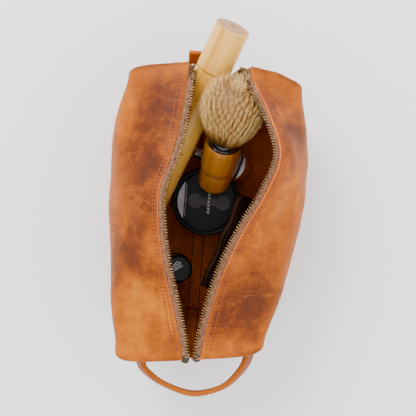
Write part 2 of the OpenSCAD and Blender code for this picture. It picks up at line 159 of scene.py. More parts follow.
# bridle leather of the strap: smooth, waxed and even
bridleLeather = leatherLook("bridle_leather_strap",
    [(0.25, "#652300"), (0.45, "#833200"), (0.65, "#964000"), (0.9, "#a65206")],
    {"cloud": 30, "mottle": 6, "pore": 0.7, "speck": 0.2, "scuff": "#9e4c04", "worn": "#a85608",
     "rough": (0.42, 0.6)})
# chocolate waxed leather of the sheath
chocolateLeather = leatherLook("chocolate_waxed_leather",
    [(0.25, "#080403"), (0.5, "#0f0704"), (0.7, "#1a0c07"), (0.9, "#26130b")],
    {"cloud": 22, "mottle": 5, "pore": 0.8, "speck": 0.25, "scuff": "#26140c", "worn": "#3a2014",
     "rough": (0.45, 0.65)})


def edgePaint():
    # cut edge of the hide, burnished and stained: bright orange with fibre streaks
    material, tree, shader = newMaterial("burnished_cut_edge", {"Roughness": 0.5})
    place = addNode(tree, "TexCoord")
    fibre = addNode(tree, "TexNoise", {"Scale": perMm(1.4), "Detail": 4.0},
                    {"Vector": place.outputs["Object"]})
    ramp = addNode(tree, "ValToRGB", {"stops": [(0.3, "#b4500c"), (0.55, "#dc6c12"), (0.8, "#ee8a2c")]},
                   {"Fac": fibre.outputs["Fac"]})
    tree.links.new(ramp.outputs[0], shader.inputs["Base Color"])
    bump = addNode(tree, "Bump", {"Strength": 0.3, "Distance": 0.0003}, {"Height": fibre.outputs["Fac"]})
    tree.links.new(bump.outputs[0], shader.inputs["Normal"])
    return material


def wovenCotton(name, dark, light, thread):
    # plain-woven cotton: two crossed thread waves, matt with a little fuzz
    material, tree, shader = newMaterial(name, {"Roughness": 0.9, "Sheen Weight": 0.3})
    place = addNode(tree, "TexCoord")
    own = place.outputs["Object"]
    warpWave = addNode(tree, "TexWave", {"bands_direction": "X", "Scale": perMm(thread) / 6.28},
                       {"Vector": own})
    weftWave = addNode(tree, "TexWave", {"bands_direction": "Y", "Scale": perMm(thread) / 6.28},
                       {"Vector": own})
    cloth = addNode(tree, "Math", {"operation": "MULTIPLY"},
                    {0: warpWave.outputs["Fac"], 1: weftWave.outputs["Fac"]})
    dust = addNode(tree, "TexNoise", {"Scale": perMm(3), "Detail": 5.0}, {"Vector": own})
    mix = addNode(tree, "Math", {"operation": "MULTIPLY_ADD", 1: 0.4},
                  {0: cloth.outputs[0], 2: dust.outputs["Fac"]})
    ramp = addNode(tree, "ValToRGB", {"stops": [(0.3, dark), (0.75, light)]}, {"Fac": mix.outputs[0]})
    tree.links.new(ramp.outputs[0], shader.inputs["Base Color"])
    bump = addNode(tree, "Bump", {"Strength": 0.5, "Distance": 0.0002}, {"Height": cloth.outputs[0]})
    tree.links.new(bump.outputs[0], shader.inputs["Normal"])
    return material


def castBrass(name, dark, light, rough):
    # antiqued brass: bright where rubbed, brown in the hollows
    material, tree, shader = newMaterial(name, {"Metallic": 1.0})
    place = addNode(tree, "TexCoord")
    stain = addNode(tree, "TexNoise", {"Scale": perMm(2.2), "Detail": 5.0},
                    {"Vector": place.outputs["Object"]})
    ramp = addNode(tree, "ValToRGB", {"stops": [(0.3, dark), (0.7, light)]}, {"Fac": stain.outputs["Fac"]})
    tree.links.new(ramp.outputs[0], shader.inputs["Base Color"])
    level = addNode(tree, "MapRange", {"To Min": rough[1], "To Max": rough[0]},
                    {"Value": stain.outputs["Fac"]})
    tree.links.new(level.outputs[0], shader.inputs["Roughness"])
    bump = addNode(tree, "Bump", {"Strength": 0.15, "Distance": 0.0002}, {"Height": stain.outputs["Fac"]})
    tree.links.new(bump.outputs[0], shader.inputs["Normal"])
    return material


def threadLook(name, colour, dark):
    # waxed linen thread, two plies twisted
    material, tree, shader = newMaterial(name, {"Roughness": 0.6})
    place = addNode(tree, "TexCoord")
    ply = addNode(tree, "TexNoise", {"Scale": perMm(0.6), "Detail": 2.0}, {"Vector": place.outputs["Object"]})
    ramp = addNode(tree, "ValToRGB", {"stops": [(0.3, dark), (0.7, colour)]}, {"Fac": ply.outputs["Fac"]})
    tree.links.new(ramp.outputs[0], shader.inputs["Base Color"])
    return material


def grainedWood(name, ramp, values, rotation):
    # straight grained wood or bamboo: long fibres along the piece under a thin satin oil
    material, tree, shader = newMaterial(name, {"Coat Weight": values["coat"], "Coat Roughness": 0.25})
    place = addNode(tree, "TexCoord")
    turned = addNode(tree, "Mapping", {"vector_type": "TEXTURE", "Rotation": rotation},
                     {"Vector": place.outputs["Object"]})
    along = addNode(tree, "Mapping", {"Scale": (1.0, 1.0, 0.035)}, {"Vector": turned.outputs[0]})
    fibre = addNode(tree, "TexNoise", {"Scale": perMm(values["fibre"]), "Detail": 5.0, "Roughness": 0.6},
                    {"Vector": along.outputs[0]})
    patch = addNode(tree, "TexNoise", {"Scale": perMm(values["patch"]), "Detail": 3.0, "Distortion": 0.6},
                    {"Vector": along.outputs[0]})
    mix = addNode(tree, "Math", {"operation": "MULTIPLY_ADD", 1: 0.45},
                  {0: fibre.outputs["Fac"], 2: patch.outputs["Fac"]})
    colour = addNode(tree, "ValToRGB", {"stops": ramp}, {"Fac": mix.outputs[0]})
    tree.links.new(colour.outputs[0], shader.inputs["Base Color"])
    level = addNode(tree, "MapRange", {"To Min": values["rough"][0], "To Max": values["rough"][1]},
                    {"Value": fibre.outputs["Fac"]})
    tree.links.new(level.outputs[0], shader.inputs["Roughness"])
    bump = addNode(tree, "Bump", {"Strength": 0.2, "Distance": 0.0003}, {"Height": fibre.outputs["Fac"]})
    tree.links.new(bump.outputs[0], shader.inputs["Normal"])
    return material


def smoothFinish(name, colour, settings, blotch, depth=0.00015):
    # moulded, lacquered or plated surface with faint handling marks
    material, tree, shader = newMaterial(name, settings)
    place = addNode(tree, "TexCoord")
    marks = addNode(tree, "TexNoise", {"Scale": perMm(blotch), "Detail": 6.0, "Roughness": 0.65},
                    {"Vector": place.outputs["Object"]})
    ramp = addNode(tree, "ValToRGB", {"stops": [(0.25, colour[0]), (0.75, colour[1])]},
                   {"Fac": marks.outputs["Fac"]})
    tree.links.new(ramp.outputs[0], shader.inputs["Base Color"])
    rough = settings["Roughness"]
    level = addNode(tree, "MapRange", {"To Min": rough * 0.75, "To Max": rough * 1.35},
                    {"Value": marks.outputs["Fac"]})
    tree.links.new(level.outputs[0], shader.inputs["Roughness"])
    bump = addNode(tree, "Bump", {"Strength": 0.12, "Distance": depth}, {"Height": marks.outputs["Fac"]})
    tree.links.new(bump.outputs[0], shader.inputs["Normal"])
    return material


def bristleLook():
    # undyed hog and badger hair: straw coloured, darker at the root, pale at the tip
    material, tree, shader = newMaterial("natural_bristle", {"Roughness": 0.55, "Specular IOR Level": 0.35})
    along = addNode(tree, "Attribute", {"attribute_name": "along"})
    shade = addNode(tree, "Attribute", {"attribute_name": "shade"})
    mix = addNode(tree, "Math", {"operation": "MULTIPLY_ADD", 1: 0.55},
                  {0: shade.outputs["Fac"], 2: along.outputs["Fac"]})
    ramp = addNode(tree, "ValToRGB", {"stops": [(0.15, "#2c1a08"), (0.6, "#80521c"), (0.95, "#cc9848"),
                   (1.0, "#e6c078")]}, {"Fac": mix.outputs[0]})
    tree.links.new(ramp.outputs[0], shader.inputs["Base Color"])
    return material


cutEdge = edgePaint()
zipCotton = wovenCotton("cotton_zip_tape", "#4a2c18", "#8a6044", 0.8)
toothBrass = castBrass("antique_brass_teeth", "#3a2412", "#a8845a", (0.2, 0.38))
sliderBrass = castBrass("cast_brass_slider", "#6b4e2c", "#b9955c", (0.25, 0.5))
tanThread = threadLook("waxed_thread_tan", "#c25a10", "#7c3206")
darkHole = threadLook("needle_hole_shadow", "#240a04", "#160502")
brownThread = threadLook("waxed_thread_brown", "#54382a", "#2c1a12")
print("materials ready")


def makePiece(name, points, faces, material, body, smooth=True, attributes=None):
    mesh = bpy.data.meshes.new(name)
    mesh.from_pydata([Vector(p) * mm for p in points], [], faces)
    mesh.validate()
    for key, values in (attributes or {}).items():
        data = mesh.attributes.new(key, "FLOAT", "POINT")
        data.data.foreach_set("value", values)
    for m in material if isinstance(material, (list, tuple)) else [material]:
        mesh.materials.append(m)
    mesh.polygons.foreach_set("use_smooth", [smooth] * len(mesh.polygons))
    piece = bpy.data.objects.new(name, mesh)
    bpy.context.scene.collection.objects.link(piece)
    if body:
        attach(piece, body)
    return piece


def gridFaces(rows, columns, flip=False, closed=False, start=0):
    # quads of a rows x columns grid of points; closed joins the last column to the first
    faces = []
    for i in range(rows - 1):
        for j in range(columns if closed else columns - 1):
            k = (j + 1) % columns
            quad = [start + i * columns + j, start + i * columns + k,
                    start + (i + 1) * columns + k, start + (i + 1) * columns + j]
            faces.append(quad[::-1] if flip else quad)
    return faces


def aim(at, direction):
    d = Vector(direction).normalized()
    turn = Matrix.Rotation(math.atan2(d.y, d.x), 4, "Z") @ Matrix.Rotation(math.acos(d.z), 4, "Y")
    return Matrix.Translation(at) @ turn


def roundProfile(profile, steps=4):
    # rounds each inner corner of a lathe profile of (radius, height, round-over)
    result = []
    for i, (r, z, soft) in enumerate(profile):
        here = Vector((r, z))
        if soft <= 0 or i in (0, len(profile) - 1):
            result.append((r, z))
            continue
        before = Vector(profile[i - 1][:2]) - here
        after = Vector(profile[i + 1][:2]) - here
        reach = min(soft, before.length * 0.49, after.length * 0.49)
        a = here + before.normalized() * reach
        b = here + after.normalized() * reach
        for k in range(steps + 1):
            f = k / steps
            p = a * (1 - f) ** 2 + here * 2 * f * (1 - f) + b * f * f
            result.append((p.x, p.y))
    return result


def lathePart(place, profile, segments=64, start=0):
    # points and faces of a turned shape about local Z
    points = []
    rows = roundProfile(profile)
    for r, z in rows:
        for j in range(segments):
            angle = 2 * math.pi * j / segments
            points.append(place @ Vector((r * math.cos(angle), r * math.sin(angle), z)))
    return points, gridFaces(len(rows), segments, closed=True, start=start)


def mergedPart(parts):
    # joins lists of (points, faces) into one
    points, faces = [], []
    for somePoints, someFaces in parts:
        base = len(points)
        points += somePoints
        faces += [[base + i for i in face] for face in someFaces]
    return points, faces


def capsule(a, b, up, width, thick):
    # one stitch: a small rounded bar from a to b lying on the surface with normal up
    axis = (b - a)
    side = axis.cross(up).normalized() * width / 2
    lift = up.normalized() * thick
    points = []
    for f, swell in ((0.0, 0.35), (0.15, 0.85), (0.5, 1.0), (0.85, 0.85), (1.0, 0.35)):
        centre = a + axis * f
        for k in range(6):
            angle = math.pi * 2 * k / 6
            points.append(centre + side * math.cos(angle) * swell + lift * math.sin(angle) * swell)
    faces = gridFaces(5, 6, closed=True)
    faces += [[5, 4, 3, 2, 1, 0], [24, 25, 26, 27, 28, 29]]
    return points, faces


def smoothRun(points, spacing):
    # Catmull-Rom through the points, resampled at equal spacing
    dense = []
    n = len(points)
    for i in range(n - 1):
        a, b, c, d = points[max(i - 1, 0)], points[i], points[i + 1], points[min(i + 2, n - 1)]
        for k in range(12):
            f = k / 12
            dense.append(0.5 * (2 * b + (c - a) * f + (2 * a - 5 * b + 4 * c - d) * f * f
                                + (3 * b - a - 3 * c + d) * f ** 3))
    dense.append(points[-1])
    marks = [0.0]
    for a, b in zip(dense, dense[1:]):
        marks.append(marks[-1] + (b - a).length)
    count = max(2, round(marks[-1] / spacing))
    result, i = [], 0
    for k in range(count + 1):
        want = marks[-1] * k / count
        while i < len(marks) - 2 and marks[i + 1] < want:
            i += 1
        f = (want - marks[i]) / max(marks[i + 1] - marks[i], 1e-9)
        result.append(dense[i].lerp(dense[i + 1], min(max(f, 0), 1)))
    return result


bag = {
    "foldHeight": 105, "leather": 2.0, "floorRadius": 12, "bulge": 4, "edgeRadius": 4.5,
    "seamX": -2, "frontLean": 24, "rearLean": 10, "dent": 1.1, "toneGain": 1.15,
    "foldX": {-1: [-60, -68, -72, -76, -77, -75.5, -67], 1: [58, 69, 77.5, 83, 83, 80, 71]},
    "footX": {-1: [-56, -65, -68, -69, -69, -68, -60], 1: [53, 62, 67, 69, 69, 67, 60]},
    "lipX": {-1: [-7.5, -14.8, -24, -31, -33.8, -25.5, -21.2, -19.2],
             1: [8.2, 12.3, 19.7, 31.8, 46.5, 54.7, 44, 29]},
    "lipZ": {-1: [115, 121, 129, 136, 138, 132, 124, 117], 1: [115, 120, 127, 135, 143, 148, 140, 120]},
    "slit": {-1: [(-2.2, 2), (-15.7, 40), (-19.8, 44), (-19.8, 72), (-21, 80), (-22.8, 92),
                  (-20.5, 110), (-19.2, 117)],
             1: [(-1.8, 2), (-15.3, 40), (-11.2, 44), (-11.2, 58), (-5, 62), (3, 66), (12, 71),
                 (20, 79), (23.5, 92), (27, 106), (29.5, 120)]},
}


def pick(values, t):
    n = len(values) - 1
    s = min(max(t, 0), 0.99999) * n
    i = int(s)
    f = s - i
    a, b, c, d = values[max(i - 1, 0)], values[i], values[i + 1], values[min(i + 2, n)]
    return 0.5 * (2 * b + (c - a) * f + (2 * a - 5 * b + 4 * c - d) * f * f
                  + (3 * b - a - 3 * c + d) * f ** 3)


def bend(a, b, c, f):
    return a * (1 - f) ** 2 + b * 2 * f * (1 - f) + c * f * f


def section(side, v, u):
    # one cross-section as (x, z): u 0-1 bottom, 1-2 corner, 2-3 side, 3-4 fold, 4-5 top
    a = Vector((bag["seamX"] + side * 0.15, 0))
    b = Vector((pick(bag["footX"][side], v), 0))
    c = Vector((pick(bag["foldX"][side], v), bag["foldHeight"]))
    d = Vector((pick(bag["lipX"][side], v), pick(bag["lipZ"][side], v)))
    r = 7 + 20 * math.sin(math.pi * min(max(v, 0), 1))
    toward = lambda p, q, reach: p + (q - p).normalized() * reach
    b0, b1 = toward(b, a, bag["floorRadius"]), toward(b, c, bag["floorRadius"])
    c0, c1 = toward(c, b, r), toward(c, d, r)
    f = u - int(min(u, 4.9999))
    if u < 1:
        return a.lerp(b0, f)
    if u < 2:
        return bend(b0, b, b1, f)
    if u < 3:
        puff = side * bag["bulge"] * math.sin(math.pi * f) * math.sin(math.pi * min(max(v, 0), 1))
        return b1.lerp(c0, f) + Vector((puff, 0))
    if u < 4:
        return bend(c0, c, c1, f)
    return c1.lerp(d, f) + Vector((0, 2 * math.sin(math.pi * f)))


def frontY(x, z):
    share = min(z, bag["foldHeight"]) / bag["foldHeight"]
    return (-90 - bag["frontLean"] * share + (0.14 if x < 0 else 0.12) * x * share
            + 5 * max(0, 1 - z / 14) ** 2 + 4 * (abs(x) / 62) ** 4)


def rearY(x, z):
    share = min(z, bag["foldHeight"]) / bag["foldHeight"]
    return 106 + bag["rearLean"] * share - 4 * max(0, 1 - z / 14) ** 2 - 9 * (abs(x) / 70) ** 3


def slitX(side, z):
    rows = bag["slit"][side]
    if z <= rows[0][1]:
        return rows[0][0]
    for (x0, z0), (x1, z1) in zip(rows, rows[1:]):
        if z <= z1:
            return x0 + (x1 - x0) * (z - z0) / (z1 - z0)
    return rows[-1][0]


def skinPoint(side, u, w):
    # w -1 front seam, 0 front edge, 1 rear edge, 2 rear seam
    radius = bag["edgeRadius"]
    v = min(max(w, 0), 1)
    rim = section(side, v, u)
    if 0 <= w <= 1:
        near = frontY(rim.x, rim.y) + radius
        far = rearY(rim.x, rim.y) - radius
        return Vector((rim.x, near + (far - near) * w, rim.y))
    rear = w > 1
    s = w - 1 if rear else -w
    topZ = section(side, v, 5).y
    z = 10 + (topZ - 13) * u / 5
    if rear:
        spine = Vector((slitX(side, z) + side * 0.15, z))
    else:
        spine = Vector((bag["seamX"] + side * (0.15 + max(0, z - 100) * 0.3), z))
    run = spine - rim
    radius = min(radius, 0.7 * run.length)
    if s < 0.25:
        angle = s / 0.25 * math.pi / 2
        inset, gap = radius * (1 - math.cos(angle)), 1 - math.sin(angle)
    else:
        inset, gap = radius + (run.length - radius) * (s - 0.25) / 0.75, 0
    p = rim + run.normalized() * inset
    gap *= bag["edgeRadius"]
    y = rearY(p.x, p.y) - gap if rear else frontY(p.x, p.y) + gap
    return Vector((p.x, y, p.y))


def spread(stops):
    # parameter values from (start, end, count) stretches
    values = []
    for a, b, n in stops:
        values += [a + (b - a) * k / n for k in range(n)]
    return values + [stops[-1][1]]


# burnished (dark, negative) and pulled-up (pale, positive) places, with one painted sheen, the pale patch at (60, 20,
# 122) on the right panel: x, y, z, radius, strength
toneAndSheenPatches = [
    (-45, 35, 118, 26, -0.16), (-62, -38, 112, 22, -0.17), (-30, 80, 120, 22, -0.13),
    (-46, -8, 124, 20, -0.09), (-40, -70, 112, 22, 0.12), (-68, 80, 104, 18, 0.12),
    (-20, -85, 112, 14, 0.05), (-66, 10, 104, 16, 0.1), (-50, -100, 106, 20, 0.06),
    (62, 65, 116, 18, -0.14), (52, -62, 108, 24, -0.15), (60, 20, 122, 22, 0.17),
    (40, -25, 126, 20, 0.06), (66, 100, 104, 18, -0.05), (70, -30, 106, 18, 0.06),
    (24, -85, 112, 18, -0.08), (58, 90, 118, 12, 0.05), (40, 82, 130, 20, -0.07),
]


def skinAt(side, u, w):
    # point and outward normal of the finished hide, with its soft dents
    step = 0.01
    p = skinPoint(side, u, w)
    du = skinPoint(side, min(u + step, 5), w) - skinPoint(side, max(u - step, 0), w)
    dw = skinPoint(side, u, min(w + step, 2)) - skinPoint(side, u, max(w - step, -1))
    normal = du.cross(dw)
    normal = normal.normalized() * (-side) if normal.length > 1e-9 else Vector((0, 0, 1))
    calm = min(1, (5 - u) * 2.2) * min(1, p.z / 8)
    # the end seams stay straight, so the two halves meet
    calm *= min(1, (1 + w) * 1.4, (2 - w) * 1.4)
    soft = noise.noise(p * 0.022 + Vector((3.1 * side, 0, 0))) * 1.6
    soft += noise.noise(p * 0.06 + Vector((0, 7.7, side))) * 0.7
    pleat = noise.ridged_multi_fractal(p * 0.018, 0.9, 2.1, 3, 1.0, 2.0) - 1.2
    p = p + normal * calm * bag["dent"] * (soft + 0.25 * pleat)
    p.z = max(p.z, 0.0)
    return p, normal


def leatherHalf(side, name):
    us = spread([(0, 1, 10), (1, 2, 8), (2, 3, 22), (3, 4, 14), (4, 5, 22)])
    ws = spread([(-1, -0.25, 14), (-0.25, 0, 6), (0, 1, 96), (1, 1.25, 6), (1.25, 2, 14)])
    points, tones, wears = [], [], []
    for u in us:
        for w in ws:
            p, _ = skinAt(side, u, w)
            points.append(p)
            # tone: burnished and pulled-up patches, and the painted sheen on the right panel
            tones.append(sum(k * math.exp(-((Vector((x, y, z)) - p).length / r) ** 2)
                             for x, y, z, r, k in toneAndSheenPatches))
            fold = math.exp(-((u - 3.5) / 0.42) ** 2) * 0.42
            ends = math.exp(-(min(abs(w), abs(w - 1)) / 0.035) ** 2) * 0.55
            lip = math.exp(-((5 - u) / 0.05) ** 2) * 0.35
            wears.append(min(1.0, fold + ends + lip) * (0.6 + 0.8 * abs(noise.noise(p * 0.03))))
    piece = makePiece(name, points, gridFaces(len(us), len(ws), flip=side < 0),
                      [pullUpTan, fleshSide, cutEdge], "bag",
                      attributes={"tone": [bag["toneGain"] * t for t in tones], "wear": wears})
    shell = piece.modifiers.new("thickness", "SOLIDIFY")
    shell.thickness = bag["leather"] * mm
    shell.offset = -1
    shell.material_offset = 1
    shell.material_offset_rim = 2
    word = "left" if side < 0 else "right"
    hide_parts(*[word + part for part in ("_bottom", "_side", "_top", "_front", "_rear")])
    return piece


for side, word in ((-1, "left"), (1, "right")):
    leatherHalf(side, word + "_leather_half")
print("leather halves sewn")


stitching = {"pitch": 3.0, "length": 2.3, "width": 0.7, "rows": (3.2, 7.6), "topLength": 48}


def stitchLine(places, pitch, length, width, holes=True):
    # threads and needle holes along a list of (point, normal)
    marks = [0.0]
    for (a, _), (b, _) in zip(places, places[1:]):
        marks.append(marks[-1] + (b - a).length)

    def at(distance):
        distance = min(max(distance, 0), marks[-1] - 1e-6)
        i = next(k for k in range(len(marks) - 1) if marks[k + 1] >= distance)
        f = (distance - marks[i]) / max(marks[i + 1] - marks[i], 1e-9)
        return places[i][0].lerp(places[i + 1][0], f), places[i][1].lerp(places[i + 1][1], f)

    threads, dots = [], []
    for k in range(int(marks[-1] / pitch)):
        a, upA = at(k * pitch + (pitch - length) / 2)
        b, upB = at(k * pitch + (pitch + length) / 2)
        threads.append(capsule(a + upA * 0.05, b + upB * 0.05, upA + upB, width, 0.34))
        if holes:
            h, up = at(k * pitch)
            along = (b - a).normalized() * 0.5
            dots.append(capsule(h - along, h + along, up, 1.0, 0.1))
    return threads, dots


def stitchPiece(name, lines, body, colour=None):
    threads, dots = [], []
    for line in lines:
        threads += line[0]
        dots += line[1]
    points, faces = mergedPart(threads)
    count = len(faces)
    morePoints, moreFaces = mergedPart(dots)
    faces += [[len(points) + i for i in face] for face in moreFaces]
    piece = makePiece(name, points + morePoints, faces, [colour or tanThread, darkHole], body)
    for polygon in piece.data.polygons[count:]:
        polygon.material_index = 1
    return piece


def skinLine(side, u, w0, w1, count=140):
    return [skinAt(side, u, w0 + (w1 - w0) * k / count) for k in range(count + 1)]


for side, word in ((-1, "left"), (1, "right")):
    lines = []
    for inset in stitching["rows"]:
        run = skinLine(side, 5 - inset / stitching["topLength"], 0.02, 0.985)
        lines.append(stitchLine(run, stitching["pitch"], stitching["length"], stitching["width"]))
    stitchPiece(word + "_zip_topstitch", lines, "bag")
    # the seam down the front wall
    seam = [skinAt(side, 0.3 + 4.4 * k / 60, -0.955) for k in range(61)]
    rear = [skinAt(side, 0.3 + 1.5 * k / 30, 1.955) for k in range(31)]
    stitchPiece(word + "_end_seam_stitch",
                [stitchLine(seam, 3.4, 2.5, 0.7), stitchLine(rear, 3.4, 2.5, 0.7)], "bag")
print("stitched")


zipper = {"tape": 3.4, "tapeWidth": 12.0, "depth": 2.3, "pitch": 2.25, "toothLength": 3.9,
          "toothWidth": 1.1, "toothThick": 2.3, "x": -15.5, "y": 110.6, "sliderZ": 64, "tapeEnd": 6}


def zipFrames(side, spacing):
    # (point, inward, up) along the cut edge: over the top, then down the slit in the rear wall
    stops = [(skinPoint(side, 5, w), skinPoint(side, 4.75, w)) for w in [k / 22 for k in range(22)]]
    lowest = 72 if side < 0 else 62
    u = 4.7
    while u > 1 and skinPoint(side, u, 2).z > lowest:
        stops.append((skinPoint(side, u, 2), skinPoint(side, u, 1.93)))
        u -= 0.16
    ways = [(a, (a - b).normalized()) for a, b in stops]
    run = smoothRun([a for a, _ in stops], spacing)
    frames = []
    for i, p in enumerate(run):
        t = (run[min(i + 1, len(run) - 1)] - run[max(i - 1, 0)]).normalized()
        inward = sum((way * math.exp(-((a - p).length / 9) ** 2) for a, way in ways), Vector((0, 0, 0)))
        inward = (inward - t * inward.dot(t)).normalized()
        frames.append((p, inward, (t.cross(inward) * side).normalized()))
    p, inward, up = frames[0]
    for k in range(1, 1 + int(zipper["tapeEnd"] / spacing)):
        frames.insert(0, (p + Vector((0, -spacing, -0.12 * spacing)) * k, inward, up))
    return frames


# the tape's end, dipped in dark sealant
tapeSeal = smoothFinish("dark_tape_sealant", ("#1d160c", "#3a2e1a"), {"Roughness": 0.5}, 2)


def zipTape(side, name):
    frames = zipFrames(side, 3.0)
    across = [zipper["tape"] + 1.2 - zipper["tapeWidth"] + k * zipper["tapeWidth"] / 8 for k in range(9)]
    points = []
    width = across[-1] - across[0]
    for i, (p, inward, up) in enumerate(frames):
        for a in across:
            if i < 3:  # only the visible strip runs on past the front edge
                a = 0.3 + (a - across[0]) * (across[-1] - 0.3) / width
            ripple = 0.12 * noise.noise((p + inward * a) * 0.2)
            points.append(p + inward * a - up * (zipper["depth"] + ripple))
    piece = makePiece(name, points, gridFaces(len(frames), 9), zipCotton, "bag")
    thick = piece.modifiers.new("cloth", "SOLIDIFY")
    thick.thickness = 0.5 * mm
    thick.offset = 0
    length = sum((a[0] - b[0]).length for a, b in zip(frames, frames[1:])) * mm
    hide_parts(name)
    return piece, length


def toothShape(centre, along, inward, up, w):
    # one cast tooth: clasped on the tape, waisted, with a rounded head
    points = []
    length, thick = zipper["toothLength"], zipper["toothThick"]
    rows = [(0.0, 0.75, 0.9), (0.12, 1.0, 1.0), (0.45, 0.92, 0.92), (0.68, 1.12, 0.98),
            (0.9, 1.05, 0.8), (1.0, 0.7, 0.45)]
    for f, wide, tall in rows:
        c = centre + inward * (f - 0.5) * length
        for k in range(8):
            angle = 2 * math.pi * (k + 0.5) / 8
            x, y = math.cos(angle), math.sin(angle)
            x = math.copysign(abs(x) ** 0.6, x)
            y = math.copysign(abs(y) ** 0.6, y)
            points.append(c + along * x * w / 2 * wide + up * y * thick / 2 * tall)
    faces = gridFaces(len(rows), 8, closed=True)
    faces += [list(range(7, -1, -1)), list(range(40, 48))]
    return points, faces


def zipTeeth(side, name):
    frames = zipFrames(side, zipper["pitch"])
    parts = []
    for i, (p, inward, up) in enumerate(frames[1:]):
        along = (frames[min(i + 2, len(frames) - 1)][0] - frames[i][0]).normalized()
        centre = p + inward * (zipper["tape"] + 1.4) - up * (zipper["depth"] - 0.1)
        skew = along * 0.18 * side
        parts.append(toothShape(centre, along, (inward + skew).normalized(), up, zipper["toothWidth"]))
    points, faces = mergedPart(parts)
    piece = makePiece(name, points, faces, toothBrass, "bag")
    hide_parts(name)
    return piece


for side, word in ((-1, "left"), (1, "right")):
    tape, tapeLength = zipTape(side, word + "_zip_tape")
    print(f"{word} tape {tapeLength * 1000:.0f} mm")
    zipTeeth(side, word + "_zip_teeth")
    p, inward, up = zipFrames(side, 3.0)[0]
    start = p + inward * 3.4 - up * 2.2 + Vector((0, -1.2, 0))
    points, faces = capsule(start, start + Vector((0, 6.5, 0.5)), up, 6.4, 0.8)
    seal = makePiece(word + "_zip_tape_end", points, faces, tapeSeal, "bag")


def closedChain():
    x, y = zipper["x"], zipper["y"]
    parts = []
    z = 46.5
    row = 0
    while z < 56.6:
        side = -1 if row % 2 else 1
        parts.append(toothShape(Vector((x + side * 1.15, y, z)), Vector((0, 0, 1)),
                                Vector((-side, 0, 0)), Vector((0, 1, 0)), 1.15))
        z += zipper["pitch"] / 2
        row += 1
    points, faces = mergedPart(parts)
    piece = makePiece("closed_zip_chain", points, faces, toothBrass, "bag")
    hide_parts("closed_zip_chain")
    points = []
    for k in range(12):
        for j in range(9):
            points.append(Vector((x - 7 + 14 * j / 8, y - 2.2, 42 + 32 * k / 11)))
    tape = makePiece("closed_zip_tape", points, gridFaces(12, 9), zipCotton, "bag")
    thick = tape.modifiers.new("cloth", "SOLIDIFY")
    thick.thickness = 0.5 * mm
    print(f"{word} tape {tapeLength * 1000:.0f} mm")


closedChain()


def softBoxes(name, boxes, material, body, node, bevel=0.35, place=None):
    # small cast or cut pieces: blocks with tapered outlines, their edges rounded over
    place = place or Matrix()
    points, faces = [], []
    for (x0, y0, z0), (x1, y1, z1), taper in boxes:
        base = len(points)
        for z, f in ((z0, 1.0), (z1, taper)):
            cx = (x0 + x1) / 2
            for x, y in ((x0, y0), (x1, y0), (x1, y1), (x0, y1)):
                points.append(place @ Vector((cx + (x - cx) * f, y, z)))
        faces += [[base + i for i in face] for face in
                  ((3, 2, 1, 0), (4, 5, 6, 7), (0, 1, 5, 4), (1, 2, 6, 5), (2, 3, 7, 6), (3, 0, 4, 7))]
    piece = makePiece(name, points, faces, material, body)
    soft = piece.modifiers.new("rounded", "BEVEL")
    soft.width = bevel * mm
    soft.segments = 3
    soft.limit_method = "ANGLE"
    if node:
        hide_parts(*node)
    return piece


def zipSlider():
    x, y, z = zipper["x"], zipper["y"], zipper["sliderZ"] - 7
    place = Matrix.Translation((x, y, z))
    boxes = [((-4, -2.9, 0), (4, -1.6, 7), 1.0), ((-4, -2.9, 6.8), (4, -1.6, 14), 0.86),
             ((-4, 1.6, 0), (4, 2.9, 7), 1.0), ((-4, 1.6, 6.8), (4, 2.9, 14), 0.86),
             ((-1.2, -1.9, 9.6), (1.2, 1.9, 14), 0.8),
             ((-4, -2.9, 0), (-3.2, -0.6, 9), 1.0), ((3.2, -2.9, 0), (4, -0.6, 9), 1.0),
             ((-4, 0.6, 0), (-3.2, 2.9, 9), 1.0), ((3.2, 0.6, 0), (4, 2.9, 9), 1.0),
             ((-1, 2.7, 4), (1, 6.2, 5.4), 1.0), ((-1, 2.7, 10), (1, 6.2, 11.4), 1.0),
             ((-1, 5.2, 4), (1, 6.4, 11.4), 1.0)]
    softBoxes("zip_slider_body", boxes, sliderBrass, "slider", ["zip_slider"], 0.3, place)
    stop = [((-3, -1.7, 0), (3, 1.7, 2.9), 1.0)]
    softBoxes("zip_bottom_stop_crimp", stop, sliderBrass, "bag", ["zip_bottom_stop"], 0.5,
              Matrix.Translation((x, y, 43)))
    pivot = Matrix.Translation((x, y + 2.9 + 1.15, z + 7.7)) @ Matrix.Rotation(math.radians(-25), 4, "X")
    loop = [Vector(p) for p in ((-3.2, 0, 0), (-3.2, 0, 4.5), (-3.2, 0, 9), (0, 0, 9.6), (3.2, 0, 9),
                                (3.2, 0, 4.5), (3.2, 0, 0), (0, 0, 0))]
    points, faces = tubeAlong([pivot @ p for p in loop], 0.75, True)
    ring = makePiece("zip_pull_wire", points, faces, sliderBrass, "pull")
    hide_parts("zip_pull_ring")
    leatherTab(pivot)


def tubeAlong(path, radius, closed=False, segments=10):
    points = []
    n = len(path)
    for i, p in enumerate(path):
        a = path[i - 1] if closed or i else path[0]
        b = path[(i + 1) % n] if closed or i < n - 1 else path[-1]
        t = (b - a).normalized()
        side = t.cross(Vector((0, 1, 0.3))).normalized()
        up = side.cross(t)
        for k in range(segments):
            angle = 2 * math.pi * k / segments
            points.append(p + side * math.cos(angle) * radius + up * math.sin(angle) * radius)
    faces = gridFaces(n, segments, closed=True)
    if closed:
        for k in range(segments):
            faces.append([(n - 1) * segments + k, (n - 1) * segments + (k + 1) % segments,
                          (k + 1) % segments, k])
    else:
        faces += [list(range(segments - 1, -1, -1)), list(range((n - 1) * segments, n * segments))]
    return points, faces


